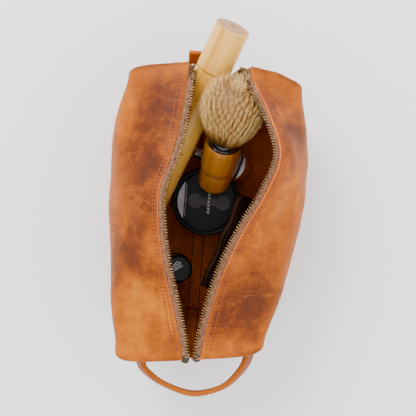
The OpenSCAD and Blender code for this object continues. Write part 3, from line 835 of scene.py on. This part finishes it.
def bandPiece(name, stations, outline, material, body, wear):
    # a closed band through stations of (centre, across, out); outline is a ring of (across, out)
    points, wears, tones = [], [], []
    for i, (c, across, out) in enumerate(stations):
        for a, o in outline:
            p = c + across * a + out * o
            points.append(p)
            wears.append(wear(a, o, i / (len(stations) - 1)))
            tones.append(0.14 * noise.noise(p * 0.05))
    m = len(outline)
    faces = gridFaces(len(stations), m, closed=True)
    faces += [list(range(m - 1, -1, -1)), list(range((len(stations) - 1) * m, len(stations) * m))]
    return makePiece(name, points, faces, material, body, attributes={"wear": wears, "tone": tones})


def roundedBar(width, thick, radius, steps=4):
    ring = []
    for sx, sy, start in ((1, 1, 0), (-1, 1, 90), (-1, -1, 180), (1, -1, 270)):
        for k in range(steps + 1):
            angle = math.radians(start + 90 * k / steps)
            ring.append((sx * (width / 2 - radius) + radius * math.cos(angle),
                         sy * (thick / 2 - radius) + radius * math.sin(angle)))
    return ring


def leatherTab(pivot):
    stations = []
    for k in range(15):
        z = 7.4 + 22 * k / 14
        curl = 0.5 * math.sin(k / 14 * 3)
        stations.append((pivot @ Vector((0, curl * 0.5, z)), pivot.to_3x3() @ Vector((1, 0, 0)),
                         pivot.to_3x3() @ Vector((0, 1, 0))))
    tab = bandPiece("zip_pull_tab", stations, roundedBar(10, 2.8, 0.8), pullUpTan, "pull",
                    lambda a, o, f: 0.8 if abs(a) > 4.4 else 0.15)
    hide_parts("zip_pull")
    lines = []
    for x in (-3.6, 3.6):
        run = [(pivot @ Vector((x, 1.45, 10 + 18 * k / 10)), pivot.to_3x3() @ Vector((0, 1, 0)))
               for k in range(11)]
        lines.append(stitchLine(run, 2.6, 1.9, 0.6, holes=False))
    stitchPiece("zip_pull_stitch", lines, "pull")


zipSlider()
print("zip fitted")


strap = {"width": 19, "thick": 4, "z": 76, "lean": (24, 9), "left": (-40, -125), "right": (46, -114.5),
         "path": [(-35, -132), (-20, -141), (4, -147), (27, -140), (40, -127)]}


def carryStrap():
    height = strap["z"]
    ends = [Vector((x, frontY(x, height) + 0.6, height)) for x in (strap["left"][0], strap["right"][0])]
    route = [ends[0]] + [Vector((x, y, height)) for x, y in
                         [strap["left"]] + strap["path"] + [strap["right"]]] + [ends[1]]
    run = smoothRun(route, 2.5)
    stations = []
    for i, p in enumerate(run):
        t = (run[min(i + 1, len(run) - 1)] - run[max(i - 1, 0)]).normalized()
        share = i / (len(run) - 1)
        lift = Vector((0, 0, 0.6 * math.sin(share * 9.0)))
        out = Vector((t.y, -t.x, 0)).normalized()
        atEnds, atMiddle = strap["lean"]
        lean = math.radians(atEnds + (atMiddle - atEnds) * math.sin(math.pi * share))
        across = Vector((0, 0, 1)) * math.cos(lean) - out * math.sin(lean)
        stations.append((p + lift, across, out * math.cos(lean) + Vector((0, 0, 1)) * math.sin(lean)))
    band = bandPiece("carry_strap_leather", stations, roundedBar(strap["width"], strap["thick"], 1.3, 5),
                     bridleLeather, None, lambda a, o, f: 1.0 if abs(a) > 8.6 else 0.12)
    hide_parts("carry_strap", "strap_anchors")
    lines = []
    for a in (-6.8, 6.8):
        for o in (-2.02, 2.02):
            line = [(c + across * a + out * o, out * math.copysign(1, o)) for c, across, out in stations]
            lines.append(stitchLine(line, 3.2, 2.4, 0.7))
    thread = stitchPiece("carry_strap_stitch", lines, None)
    axis = Vector((strap["right"][0] - strap["left"][0], strap["right"][1] - strap["left"][1], 0)).normalized()
    out = Vector((axis.y, -axis.x, 0))
    for piece in (band, thread):
        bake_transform(piece)


carryStrap()
print("strap sewn on")


def seamBand(name, places, width, thick):
    # reinforcing strip along the inside of the centre seam, with a stitch row at each side
    points, wears = [], []
    for p, across, up in places:
        for a, o in roundedBar(width, thick, thick * 0.45, 2):
            points.append(p + across * a + up * o)
    m = len(roundedBar(width, thick, thick * 0.45, 2))
    faces = gridFaces(len(places), m, closed=True)
    faces += [list(range(m - 1, -1, -1)), list(range((len(places) - 1) * m, len(places) * m))]
    piece = makePiece(name, points, faces, fleshSide, "bag")
    lines = []
    for a in (-width / 2 + 2.4, width / 2 - 2.4):
        run = [(p + across * a + up * thick / 2, up) for p, across, up in places]
        lines.append(stitchLine(run, 3.2, 2.6, 0.95))
    stitchPiece(name + "_stitch", lines, "bag", colour=brownThread)


acrossX = Vector((1, 0, 0))
seamBand("floor_seam_band", [(Vector((bag["seamX"], -85.5 + 5.9 * k, 2.18)), acrossX, Vector((0, 0, 1)))
                             for k in range(32)], 14, 0.36)
seamBand("front_seam_band", [(Vector((bag["seamX"], frontY(-2, z) + 2.5, z)), acrossX,
                              Vector((0, 0.97, 0.22))) for z in range(2, 107, 6)], 14, 1.0)
print("inside seams done")


# bamboo toothbrush tube, drawn apart at the cap
tube = {"at": (12.7, 145.5, 110), "way": (0.340, 0.823, 0.454), "d": 28, "length": 188, "cap": 38,
        "bore": 10.5, "nodes": (44, 122), "seam": 0.35}
tubeAxis = Vector(tube["way"]).normalized()
tubeFoot = Vector(tube["at"]) - tubeAxis * tube["length"]
tubePlace = aim(tubeFoot, tubeAxis)
# split bamboo: straw and honey fibres running along the culm, with a silky oiled sheen
bamboo = grainedWood("bamboo_culm", [(0.3, "#8a4c08"), (0.44, "#b26e16"), (0.56, "#d08a20"), (0.72, "#e8b048")],
                     {"fibre": 1.6, "patch": 9, "coat": 0.3, "rough": (0.32, 0.5)}, tubePlace.to_euler())
# its sawn end: paler, pinkish and dry
bambooEnd = smoothFinish("bamboo_end_grain", ("#9c6a40", "#c08e60"), {"Roughness": 0.6}, 1.6, 0.0004)
nodeMark = smoothFinish("bamboo_node_scar", ("#5a3312", "#7a4a20"), {"Roughness": 0.6}, 1.2)
# nylon bristle: off white and slightly waxy
nylonTuft = smoothFinish("nylon_filament", ("#d8d2c2", "#f0ebdf"), {"Roughness": 0.45}, 2)


def bambooTurned(name, profile, body, nodes, materials):
    r = tube["d"] / 2
    points, faces = lathePart(Matrix(), profile, 72)
    for i, p in enumerate(points):
        if math.hypot(p.x, p.y) < r - 1.6:
            continue
        swell = sum(0.28 * math.exp(-((p.z - n) / 1.5) ** 2) - 0.3 * math.exp(-((p.z - n - 2.4) / 0.9) ** 2)
                    for n in nodes)
        swell += 0.2 * noise.noise(Vector((p.x * 0.06, p.y * 0.06, p.z * 0.012)))
        points[i] = Vector((p.x * (r + swell) / r, p.y * (r + swell) / r, p.z))
    piece = makePiece(name, [tubePlace @ p for p in points], faces, materials, body)
    return piece


def bambooTube():
    r, bore, top = tube["d"] / 2, tube["bore"], tube["length"]
    split = top - tube["cap"]
    barrel = bambooTurned("bamboo_tube_barrel",
                          [(0, 5, 0), (bore, 5, 1.5), (bore, split - 0.5, 0.5), (r - 1.6, split - 0.5, 0.3),
                           (r - 1.6, split - 7.6, 0), (r, split - 8 + 7.4, tube["seam"])] +
                          [(r, split - 2 - 1.2 * k, 0) for k in range(122)] + [(r, 0, 1.4), (0, 0, 0)],
                          "tube", tube["nodes"], bamboo)
    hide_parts("tube_body")
    cap = bambooTurned("bamboo_tube_cap",
                       [(0, top - 4, 0), (bore, top - 4, 1), (bore, split + 0.3, 0.3), (r, split, tube["seam"])] +
                       [(r, split + 2 + 1.2 * k, 0) for k in range(29)] + [(r, top, 0.7), (0, top, 0)],
                       "tube_cap", (), [bamboo, bambooEnd])
    back = tubePlace.inverted()
    for polygon in cap.data.polygons:
        c = back @ (polygon.center / mm)
        if c.z > top - 0.5 and math.hypot(c.x, c.y) < r - 0.5:
            polygon.material_index = 1
    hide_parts("tube_cap")
    # knot hole in the end and the two scars left by trimmed twigs
    up = tubePlace.to_3x3() @ Vector((-1, 0, 0))
    side = tubeAxis.cross(up).normalized()
    hole = tubePlace @ Vector((0, 0, top + 0.02)) - up * 2.5
    points, faces = capsule(hole - side * 2.6, hole + side * 2.2, tubeAxis, 1.9, 0.06)
    mark = makePiece("bamboo_end_knot", points, faces, nodeMark, "tube_cap")
    parts = []
    for z, angle in ((72, 12), (77, 30), (74, -8)):
        turn = math.radians(angle)
        out = (up * math.cos(turn) + side * math.sin(turn)).normalized()
        c = tubePlace @ Vector((0, 0, z)) + out * (r + 0.1)
        parts.append(capsule(c - side * 1.2, c + side * 1.2, out, 1.8, 0.12))
    points, faces = mergedPart(parts)
    scars = makePiece("bamboo_twig_scars", points, faces, nodeMark, "tube")


def toothbrushInside():
    place = tubePlace
    ring = roundedBar(1, 1, 0.45, 4)
    points = []
    stations = 36
    for i in range(stations):
        f = i / (stations - 1)
        width = 9.6 - 3.6 * math.exp(-((f - 0.74) / 0.09) ** 2)
        thick = 4.8 - 1.2 * math.exp(-((f - 0.76) / 0.12) ** 2)
        close = min(1, 0.55 + 12 * f * (1 - f) * 2)
        for a, o in ring:
            points.append(place @ Vector((a * width * close, o * thick - 0.1, 5.6 + 167 * f)))
    m = len(ring)
    faces = gridFaces(stations, m, closed=True)
    faces += [list(range(m - 1, -1, -1)), list(range((stations - 1) * m, stations * m))]
    handle = makePiece("toothbrush_handle", points, faces, bamboo, "tube")
    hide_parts("toothbrush")
    rng = random.Random(5)
    parts = []
    for i in range(9):
        for j in range(3):
            for k in range(12):
                x, z = (j - 1) * 2.5 + rng.uniform(-0.9, 0.9), 149 + i * 2.6 + rng.uniform(-0.9, 0.9)
                a = place @ Vector((x, 2.1, z))
                b = place @ Vector((x * 1.05, 7.2 + rng.uniform(-0.2, 0.2), z + rng.uniform(-0.2, 0.2)))
                parts.append(capsule(a, b, place.to_3x3() @ Vector((1, 0, 0)), 0.3, 0.16))
    points, faces = mergedPart(parts)
    tufts = makePiece("toothbrush_tufts", points, faces, nylonTuft, "tube")


bambooTube()
toothbrushInside()
print("bamboo tube turned")


# shaving brush
brush = {"foot": (7, 25, 44.6), "way": (0.119, 0.653, 0.748), "d": 30, "handle": 50, "ring": 7,
         "knot": 51, "loft": 60, "hairs": 5200, "clumps": 260, "root": 12.6}
brushPlace = aim(brush["foot"], brush["way"])
# oiled beech or bamboo handle: honey brown with fine grain
honeyWood = grainedWood("honey_wood", [(0.25, "#6c3404"), (0.45, "#8f4e08"), (0.6, "#a86412"), (0.8, "#bf7e26")],
                        {"fibre": 1.1, "patch": 7, "coat": 0.4, "rough": (0.28, 0.45)}, brushPlace.to_euler())
# painted shade: dark wood colour laid in the groove and at the bottom of the waist, where shade falls
grooveShade = smoothFinish("wood_groove_painted_shade", ("#3a1f0c", "#5a3416"), {"Roughness": 0.7}, 1.5)
# black resin ferrule: glossy with soft highlights
blackResin = smoothFinish("black_resin", ("#0b0b0c", "#1b1a1a"),
                          {"Roughness": 0.22, "Coat Weight": 0.6, "Coat Roughness": 0.08}, 4)
bristleHair = bristleLook()


def brushHandle():
    r = brush["d"] / 2
    rows = [(0, 0, 0), (r - 4, 0, 1.2), (r - 2.2, 1.5, 1.0), (r - 1.4, 5, 2), (r - 1.2, 16, 1.5),
            (r - 1.8, 18.5, 1), (r - 2.2, 20, 0.5), (r - 1.2, 20.8, 0.5), (r - 0.6, 22.6, 0.3),
            (r - 0.95, 22.9, 0.1), (r - 0.95, 23.5, 0.1), (r - 0.4, 23.8, 0.3), (r - 0.1, 26, 1),
            (r, 32, 2), (r, 46, 1), (r - 0.6, brush["handle"], 0.6), (0, brush["handle"], 0)]
    points, faces = lathePart(brushPlace, rows, 72)
    wood = makePiece("brush_handle_wood", points, faces, [honeyWood, grooveShade], "brush")
    back = brushPlace.inverted()
    for polygon in wood.data.polygons:
        z = (back @ (polygon.center / mm)).z
        # the groove and the waist's narrowest band get the painted shade
        if 22.85 < z < 23.6 or 19.8 < z < 20.3:
            polygon.material_index = 1
    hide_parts("brush_handle")
    r -= 1.2
    base = brush["handle"] + 0.05
    rows = [(0, base, 0), (r, base, 0.3), (r + 0.4, base + 1, 0.4), (r + 0.35, base + 2.2, 0.2),
            (r - 0.2, base + 2.6, 0.2), (r - 0.2, base + 3.1, 0.2), (r + 0.3, base + 3.5, 0.3),
            (r + 0.3, base + 5.6, 0.8), (r - 0.5, base + brush["ring"], 0.4), (r - 2, base + brush["ring"], 0.3),
            (0, base + brush["ring"], 0)]
    points, faces = lathePart(brushPlace, rows, 72)
    ring = makePiece("brush_ferrule", points, faces, blackResin, "brush")
    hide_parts("brush_ring")


def clearOfTube(p):
    # hair lying on the tube follows its round
    reach = tube["d"] / 2 + 0.7
    away = (p - tubeFoot) - tubeAxis * (p - tubeFoot).dot(tubeAxis)
    if away.length < reach:
        return p + away.normalized() * (reach - away.length)
    return p


def knotOutline(f):
    # radius at a share of the loft: tight at the root, full above the middle, domed at the tip
    rows = ((0, 0.52), (0.08, 0.64), (0.23, 0.87), (0.4, 0.98), (0.57, 1.0), (0.72, 0.95), (0.85, 0.79),
            (0.95, 0.48), (1.0, 0.0))
    for (a, ra), (b, rb) in zip(rows, rows[1:]):
        if f <= b:
            return (ra + (rb - ra) * (f - a) / (b - a)) * brush["knot"] / 2
    return 0.0


def brushKnot():
    rng = random.Random(29)
    base = brush["handle"] + brush["ring"] - 0.4
    loft = brush["loft"]
    golden = math.pi * (3 - math.sqrt(5))
    clumps = []
    for c in range(brush["clumps"]):
        share = math.sqrt((c + 0.5) / brush["clumps"])
        clumps.append((share, c * golden, rng.uniform(0, 1), rng.uniform(-0.8, 0.8)))

    def tipOf(share, turn):
        # crown for the inner hairs, flank for the outer ones
        f = 1.0 - 0.62 * share ** 2.1
        radius = knotOutline(min(f, 0.985)) if share > 0.3 else share / 0.3 * knotOutline(0.965) * 0.8
        return Vector((radius * math.cos(turn), radius * math.sin(turn), base + loft * min(f, 0.99)))

    points, faces, along, shade = [], [], [], []
    steps = 6
    for h in range(brush["hairs"]):
        share = math.sqrt((h + 0.5) / brush["hairs"])
        turn = h * golden * 7.0 + rng.uniform(-0.05, 0.05)
        turnFlat = turn % (2 * math.pi)
        near = min(clumps, key=lambda c: (share - c[0]) ** 2 + (2 * share * math.sin((turnFlat - c[1]) / 2)) ** 2)
        root = Vector((brush["root"] * share * math.cos(turn), brush["root"] * share * math.sin(turn), base))
        tip = tipOf(share, turn).lerp(tipOf(near[0], near[1]), rng.uniform(0.25, 0.6))
        reach = (tip - Vector((0, 0, base)))
        tip = Vector((0, 0, base)) + reach * rng.uniform(0.95, 1.035)
        tip += Vector((rng.uniform(-1, 1), rng.uniform(-1, 1), rng.uniform(-0.6, 0.6))) * 0.6
        wave, phase = rng.uniform(0.15, 0.5), rng.uniform(0, 6.28)
        thin = rng.uniform(0.1, 0.17)
        colour = 0.6 * near[2] + 0.4 * rng.random()
        first = len(points)
        side = Vector((-math.sin(turn), math.cos(turn), 0))
        for k in range(steps):
            f = k / (steps - 1)
            z = base + (tip.z - base) * f
            spreadOut = f ** 0.62
            p = Vector((root.x + (tip.x - root.x) * spreadOut, root.y + (tip.y - root.y) * spreadOut, z))
            p += side * wave * math.sin(phase + f * 5) * f
            p = clearOfTube(brushPlace @ p)
            fat = thin * (1.25 - 0.95 * f ** 1.6)
            for c in range(3):
                angle = turn + c * 2.094
                lift = brushPlace.to_3x3() @ Vector((math.cos(angle), math.sin(angle), 0)) * fat
                points.append(p + lift)
                along.append(f)
                shade.append(colour)
        faces += gridFaces(steps, 3, closed=True, start=first)
        faces.append([first + 3 * (steps - 1) + k for k in range(3)])
    hair = makePiece("brush_bristles", points, faces, bristleHair, "brush",
                     attributes={"along": along, "shade": shade})
    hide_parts("brush_knot")
    # the imported hair behind the outer strands: a solid core in a fixed dark hair colour, painted shade for the depth
    # of the knot
    rows = [(0, base, 0)] + [(max(knotOutline(k / 20) - 1.6, 0) * 0.95, base + loft * 0.93 * k / 20, 0)
                             for k in range(20)] + [(0, base + loft * 0.93, 0)]
    points, faces = lathePart(brushPlace, rows, 64)
    points = [clearOfTube(p) for p in points]
    core = makePiece("brush_bristle_core", points, faces, bristleHair, "brush",
                     attributes={"along": [0.35] * len(points), "shade": [0.2] * len(points)})


brushHandle()
brushKnot()
print("brush knotted")


# balm tin
tin = {"at": (2.4, 9.5, 2.4), "d": 58, "h": 32, "lid": 13, "chord": -19}
# black baked enamel on tinplate: deep, smooth, small scuffs
blackEnamel = smoothFinish("black_tin_enamel", ("#020203", "#070607"), {"Roughness": 0.25, "Specular IOR Level": 0.12},
                           6)
silverPrint = smoothFinish("silver_tin_print", ("#8a8b8d", "#b9babb"), {"Roughness": 0.45}, 9)
greyPrint = smoothFinish("grey_tin_print", ("#26221f", "#3a3430"), {"Roughness": 0.5}, 3)
# shaving balm: soft cream with swipe marks
creamBalm = smoothFinish("cream_balm", ("#d9cbaa", "#eee3ca"), {"Roughness": 0.5, "Subsurface Weight": 0.15,
                         "Subsurface Radius": (0.004, 0.003, 0.002)}, 8, 0.0012)


def flatShape(outline, z, place):
    # thin printed or pressed shape: a filled outline standing slightly proud
    points = [place @ Vector((x, y, z)) for x, y in outline] + [place @ Vector((x, y, z - 0.12)) for x, y in outline]
    n = len(outline)
    faces = [list(range(n))] + [[k, k + n, (k + 1) % n + n, (k + 1) % n] for k in range(n)]
    return points, faces


def disc(x, y, r, count=36, start=0.0, end=2 * math.pi):
    closed = end - start > 6.28
    return [(x + r * math.cos(start + (end - start) * k / (count if closed else count - 1)),
             y + r * math.sin(start + (end - start) * k / (count if closed else count - 1))) for k in range(count)]


def balmTin():
    place = Matrix.Translation(tin["at"])
    r, h = tin["d"] / 2, tin["h"]
    rows = [(0, 1.1, 0), (r - 1.5, 1.1, 0.4), (r - 1.5, h - 1.5, 0.2), (r - 1.0, h - 1.4, 0.2), (r - 0.6, h - 3, 0.3),
            (r - 0.6, 1.6, 0.5), (r - 1.4, 0, 0.6), (r - 5, 0, 0.5), (r - 6, 0.6, 0.5), (0, 0.6, 0)]
    points, faces = lathePart(place, rows, 96)
    base = makePiece("tin_base_pressed", points, faces, blackEnamel, "bag")
    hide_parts("tin_base")
    low = h - tin["lid"]
    rows = [(0, h - 1.1, 0), (r - 0.4, h - 1.1, 0.4), (r - 0.35, low, 0.1), (r + 0.1, low - 0.1, 0.2),
            (r + 0.5, low + 0.5, 0.5), (r + 0.1, low + 1.3, 0.4), (r + 0.25, h - 2, 0.5), (r + 0.3, h - 0.5, 0.7),
            (r - 0.9, h, 0.5), (r - 1.9, h - 0.15, 0.4), (r - 2.4, h - 0.75, 0.3), (r - 3.4, h - 0.7, 0.3),
            (r - 3.9, h - 0.25, 0.3), (r - 6, h - 0.2, 0), (0, h - 0.2, 0)]
    points, faces = lathePart(place, rows, 96)
    lid = makePiece("tin_lid_pressed", points, faces, blackEnamel, "tin_lid")
    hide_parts("tin_lid")
    top = h - 0.12
    panel = r - 4.3
    half = math.acos(tin["chord"] / panel)
    segment = flatShape(disc(0, 0, panel, 40, half, 2 * math.pi - half), top, place)
    line = flatShape([(tin["chord"] + 1.1, -panel * 0.55), (tin["chord"] + 1.5, -panel * 0.55),
                      (tin["chord"] + 1.5, panel * 0.55), (tin["chord"] + 1.1, panel * 0.55)], top, place)
    bar = [flatShape(disc(2.2, y, 1.25, 6), top + 0.02, place) for y in (-9, -6, -3, 0, 3, 6, 9)]
    points, faces = mergedPart([segment, line] + bar)
    silver = makePiece("tin_silver_print", points, faces, silverPrint, "tin_lid", smooth=False)
    grey = []
    for x in (-9.5, 14):
        grey.append(flatShape(disc(x, 0, 6.2, 36), top - 0.02, place))
    grey.append(flatShape([(-6, -3), (11, -3), (11, 3), (-6, 3)], top - 0.04, place))
    points, faces = mergedPart(grey)
    emblem = makePiece("tin_grey_emblem", points, faces, greyPrint, "tin_lid", smooth=False)
    # balm, its top rippled in rings and uneven
    rows = [(0, h - 8.2, 0)] + [(k, h - 8.2 + 0.4 * math.sin(k * 0.7), 0) for k in range(2, 27)] + \
           [(r - 1.6, h - 7.6, 0.3), (r - 1.6, 1.3, 0.2), (0, 1.3, 0)]
    points, faces = lathePart(place, rows, 72)
    points = [p + Vector((0, 0, 0.5 * noise.noise(p * 0.12))) if p.z > 20 else p for p in points]
    balm = makePiece("balm_surface", points, faces, creamBalm, "bag")
    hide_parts("balm")


balmTin()


# oil bottle
bottle = {"at": (-24, -51.5, 4.4), "way": (0.12, 0.06, 0.99), "d": 27, "h": 74, "cap": 22, "ribs": 40}
# dark amber glass, nearly black where it is thick
darkGlass = smoothFinish("dark_amber_glass", ("#120a06", "#24140c"),
                         {"Roughness": 0.08, "Coat Weight": 0.8, "Coat Roughness": 0.03}, 14)
# ribbed black cap: moulded plastic, slightly worn on the ribs
capPlastic = smoothFinish("black_cap_plastic", ("#030303", "#0a0a0a"), {"Roughness": 0.35, "Specular IOR Level": 0.16}, 3)
capPrint = smoothFinish("grey_cap_print", ("#8a8d8e", "#c0c2c2"), {"Roughness": 0.5}, 2)


def oilBottle():
    place = aim(bottle["at"], bottle["way"])
    r, h, cap = bottle["d"] / 2, bottle["h"], bottle["cap"]
    shoulder = h - cap - 8
    rows = [(0, 0.8, 0), (r - 4, 0.6, 0.5), (r - 2, 0, 0.6), (r, 1.5, 1.2), (r, shoulder, 2.5),
            (r - 1.5, shoulder + 3.5, 1.5), (8, h - cap - 2, 1), (7, h - cap - 1, 0.4), (7, h - 3, 0.3),
            (5.4, h - 3, 0.3), (5.4, h - cap - 2, 0.5), (r - 3.2, shoulder + 1, 1), (r - 2, shoulder - 1, 1),
            (r - 2, 2.5, 1), (0, 2.5, 0)]
    points, faces = lathePart(place, rows, 72)
    glass = makePiece("oil_bottle_glass", points, faces, darkGlass, "bottle")
    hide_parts("bottle_body")
    low = h - cap
    rows = [(0, h - 2, 0), (7.4, h - 2, 0.4), (7.4, low, 0.2), (10.9, low, 0.3), (11.0, low + 0.6, 0.3),
            (10.6, low + 1.4, 0.2)] + [(10.8, low + 2 + 1.5 * k, 0) for k in range(11)] + \
           [(10.7, h - 2.2, 0.3), (10.3, h - 0.6, 0.7), (9.2, h, 0.5), (8.6, h - 0.25, 0.3), (0, h - 0.25, 0)]
    points, faces = lathePart(Matrix(), rows, bottle["ribs"] * 6)
    for i, p in enumerate(points):
        out = math.hypot(p.x, p.y)
        if out > 10.4 and low + 1.6 < p.z < h - 2:
            rib = 0.28 * max(0, math.cos(math.atan2(p.y, p.x) * bottle["ribs"])) ** 0.5
            points[i] = Vector((p.x * (out + rib) / out, p.y * (out + rib) / out, p.z))
    capPiece = makePiece("oil_bottle_cap", [place @ p for p in points], faces, capPlastic, "bottle_cap")
    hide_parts("bottle_cap")
    shapes = []
    for y, w in ((4.6, 2.4), (3.0, 4.0), (1.4, 3.2), (-0.2, 4.4)):
        shapes.append(flatShape([(-w - 0.6, y), (w - 0.6, y + 1.4), (w - 0.6, y + 2.1), (-w - 0.6, y + 0.7)],
                                h - 0.14, place))
    points, faces = mergedPart(shapes)
    mark = makePiece("oil_cap_mark", points, faces, capPrint, "bottle_cap", smooth=False)


oilBottle()
print("tin and bottle placed")


# safety razor
razor = {"at": (32, 40, 25), "way": (0.945, -0.27, 0.19), "head": 42, "d": 9, "length": 84}
# chrome plate: mirror bright with faint wiping marks
chrome = smoothFinish("polished_chrome", ("#c9ccd0", "#eef0f2"), {"Metallic": 1.0, "Roughness": 0.28}, 5, 0.00004)
bladeSteel = smoothFinish("blade_steel", ("#b9bec2", "#dfe3e6"), {"Metallic": 1.0, "Roughness": 0.22}, 3, 0.00004)


def finerCopy(node, name, body, material, width):
    # the CAD node's own shape with its edges rounded over
    source = bpy.data.objects[node]
    piece = bpy.data.objects.new(name, source.data.copy())
    piece.data.materials.clear()
    piece.data.materials.append(material)
    piece.matrix_world = source.matrix_world.copy()
    bpy.context.scene.collection.objects.link(piece)
    piece.data.polygons.foreach_set("use_smooth", [True] * len(piece.data.polygons))
    soft = piece.modifiers.new("rounded", "BEVEL")
    soft.width = width * mm
    soft.segments = 3
    soft.limit_method = "ANGLE"
    soft.angle_limit = math.radians(40)
    weighted = piece.modifiers.new("shading", "WEIGHTED_NORMAL")
    weighted.keep_sharp = True
    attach(piece, body)
    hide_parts(node)
    return piece


def razorHandle():
    place = aim(razor["at"], razor["way"])
    r, length = razor["d"] / 2, razor["length"]
    start = -length - 6.4
    rows = [(0, start, 0), (r + 0.6, start, 0.5), (r + 1, start + 1, 0.6), (r + 1, start + 7, 0.6), (r, start + 8, 0.4),
            (r - 0.7, start + 8.8, 0.2)]
    for k in range(11):
        z = start + 9 + 5 * k
        rows += [(r - 0.6, z, 0)] + [(r, z + 0.3 + 0.45 * i, 0) for i in range(9)] + [(r - 0.6, z + 4.3, 0)]
    rows += [(r - 0.6, start + 64, 0.2), (r + 0.6, start + 64.3, 0.3), (r + 0.6, start + 66.8, 0.3),
             (r - 0.7, start + 67.4, 0.4), (r - 0.7, start + length, 0.3), (2.6, start + length, 0.2),
             (2.6, start + length - 12, 0.2), (0, start + length - 12, 0)]
    points, faces = lathePart(Matrix(), rows, 60)
    for i, p in enumerate(points):
        out = math.hypot(p.x, p.y)
        if r - 0.1 < out < r + 0.1:
            turn = math.atan2(p.y, p.x)
            cut = 0.16 * (abs(math.sin(turn * 15 + p.z * 2.2)) + abs(math.sin(turn * 15 - p.z * 2.2)) - 1)
            points[i] = Vector((p.x * (out + cut) / out, p.y * (out + cut) / out, p.z))
    handle = makePiece("razor_handle_knurled", [place @ p for p in points], faces, chrome, "razor_handle")
    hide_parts("razor_handle")


finerCopy("razor_cap", "razor_cap_polished", "bag", chrome, 0.5)
finerCopy("razor_plate", "razor_plate_polished", "bag", chrome, 0.3)
finerCopy("razor_blade", "razor_blade_ground", "bag", bladeSteel, 0.05)
razorHandle()


# leather sheath
sheath = {"at": (18, -22, 54), "turn": -17.5, "lean": 50, "l": 84, "w": 52, "t": 6,
          "edge": [(0, 2), (13, 0), (29, 2.5), (46, 0.5), (59, 3.5), (79, 2), (84, 8)]}


def leatherSheath():
    place = Matrix.Translation(sheath["at"]) @ Matrix.Rotation(math.radians(sheath["turn"]), 4, "Z") @ \
        Matrix.Rotation(math.radians(sheath["lean"]), 4, "Y") @ \
        Matrix.Translation((0, -sheath["l"] / 2, -sheath["t"]))
    rows = 70
    ring = []
    for k in range(26):
        ring.append((k / 25, 1))
    for k in range(26):
        ring.append((1 - k / 25, -1))
    points, tones, wears = [], [], []
    edge = smoothRun([Vector((x, y, 0)) for y, x in sheath["edge"]], 0.5)
    for i in range(rows):
        y = sheath["l"] * i / (rows - 1)
        x0 = min(edge, key=lambda p: abs(p.y - y)).x
        x1 = sheath["w"] - (4 * max(0, 1 - y / 5)) - 10 * max(0, (y - sheath["l"] + 10) / 10)
        for f, face in ring:
            x = x0 + (x1 - x0) * (0.5 - 0.5 * math.cos(math.pi * f))
            rim = min(1, min(x - x0, x1 - x) / 4.5, min(y, sheath["l"] - y) / 4.5)
            half = 1.15 + 1.7 * math.sqrt(max(0, rim * (2 - rim)))
            if min(x - x0, x1 - x) < 0.01:
                half = 0.6
            warp = 0.35 * noise.noise(Vector((x, y, 0)) * 0.07)
            points.append(place @ Vector((x, y, sheath["t"] / 2 + face * half + warp * rim)))
            tones.append(0.25 * noise.noise(Vector((x * 0.06, y * 0.06, 3))))
            wears.append(0.9 if min(x - x0, x1 - x) < 1.2 else 0.1)
    m = len(ring)
    faces = gridFaces(rows, m, closed=True)
    faces += [list(range(m - 1, -1, -1)), list(range((rows - 1) * m, rows * m))]
    piece = makePiece("leather_sheath_sewn", points, faces, chocolateLeather, "bag",
                      attributes={"tone": tones, "wear": wears})
    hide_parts("leather_sheath")
    lines = []
    up = place.to_3x3() @ Vector((0, 0, 1))
    for face in (1, -1):
        line = [(place @ Vector((p.x + 3.4, p.y, sheath["t"] / 2 + face * 2.75)), up * face)
                for p in edge[:: 4] if 3 < p.y < sheath["l"] - 4]
        lines.append(stitchLine(line, 3.2, 2.3, 0.65, holes=False))
    stitchPiece("sheath_stitch", lines, "bag", brownThread)


leatherSheath()
print("contents placed")


stage = {"floor": "#fbfbfc", "world": 1.7, "lens": 78.7, "eye": (0.0043, 0.0042, 0.815), "turn": 4.5,
         "lights": (("key", (-0.5, 0.75, 1.1), 0.6, 18), ("fill", (0.7, -0.3, 1.0), 0.9, 5))}


def stageRoom():
    floorMaterial, _, _ = newMaterial("pale_floor", {"Base Color": stage["floor"], "Roughness": 0.75})
    bpy.ops.mesh.primitive_plane_add(size=8, location=(0, 0, 0))
    floor = bpy.context.object
    floor.name = "floor"
    floor.data.materials.append(floorMaterial)
    world = bpy.data.worlds.new("studio")
    bpy.context.scene.world = world
    world.use_nodes = True
    world.node_tree.nodes["Background"].inputs["Color"].default_value = (1, 1, 1, 1)
    world.node_tree.nodes["Background"].inputs["Strength"].default_value = stage["world"]
    for name, place, size, power in stage["lights"]:
        light = bpy.data.lights.new(name, "AREA")
        light.size = size
        light.energy = power
        lamp = bpy.data.objects.new(name, light)
        lamp.location = place
        lamp.rotation_euler = (Vector((0, 0, 0.06)) - Vector(place)).to_track_quat("-Z", "Y").to_euler()
        bpy.context.scene.collection.objects.link(lamp)
    camera = bpy.data.cameras.new("camera")
    camera.lens = stage["lens"]
    camera.sensor_width = 36
    eye = bpy.data.objects.new("camera", camera)
    eye.location = stage["eye"]
    eye.rotation_euler = (0, 0, math.radians(stage["turn"]))
    bpy.context.scene.collection.objects.link(eye)
    bpy.context.scene.camera = eye


stageRoom()
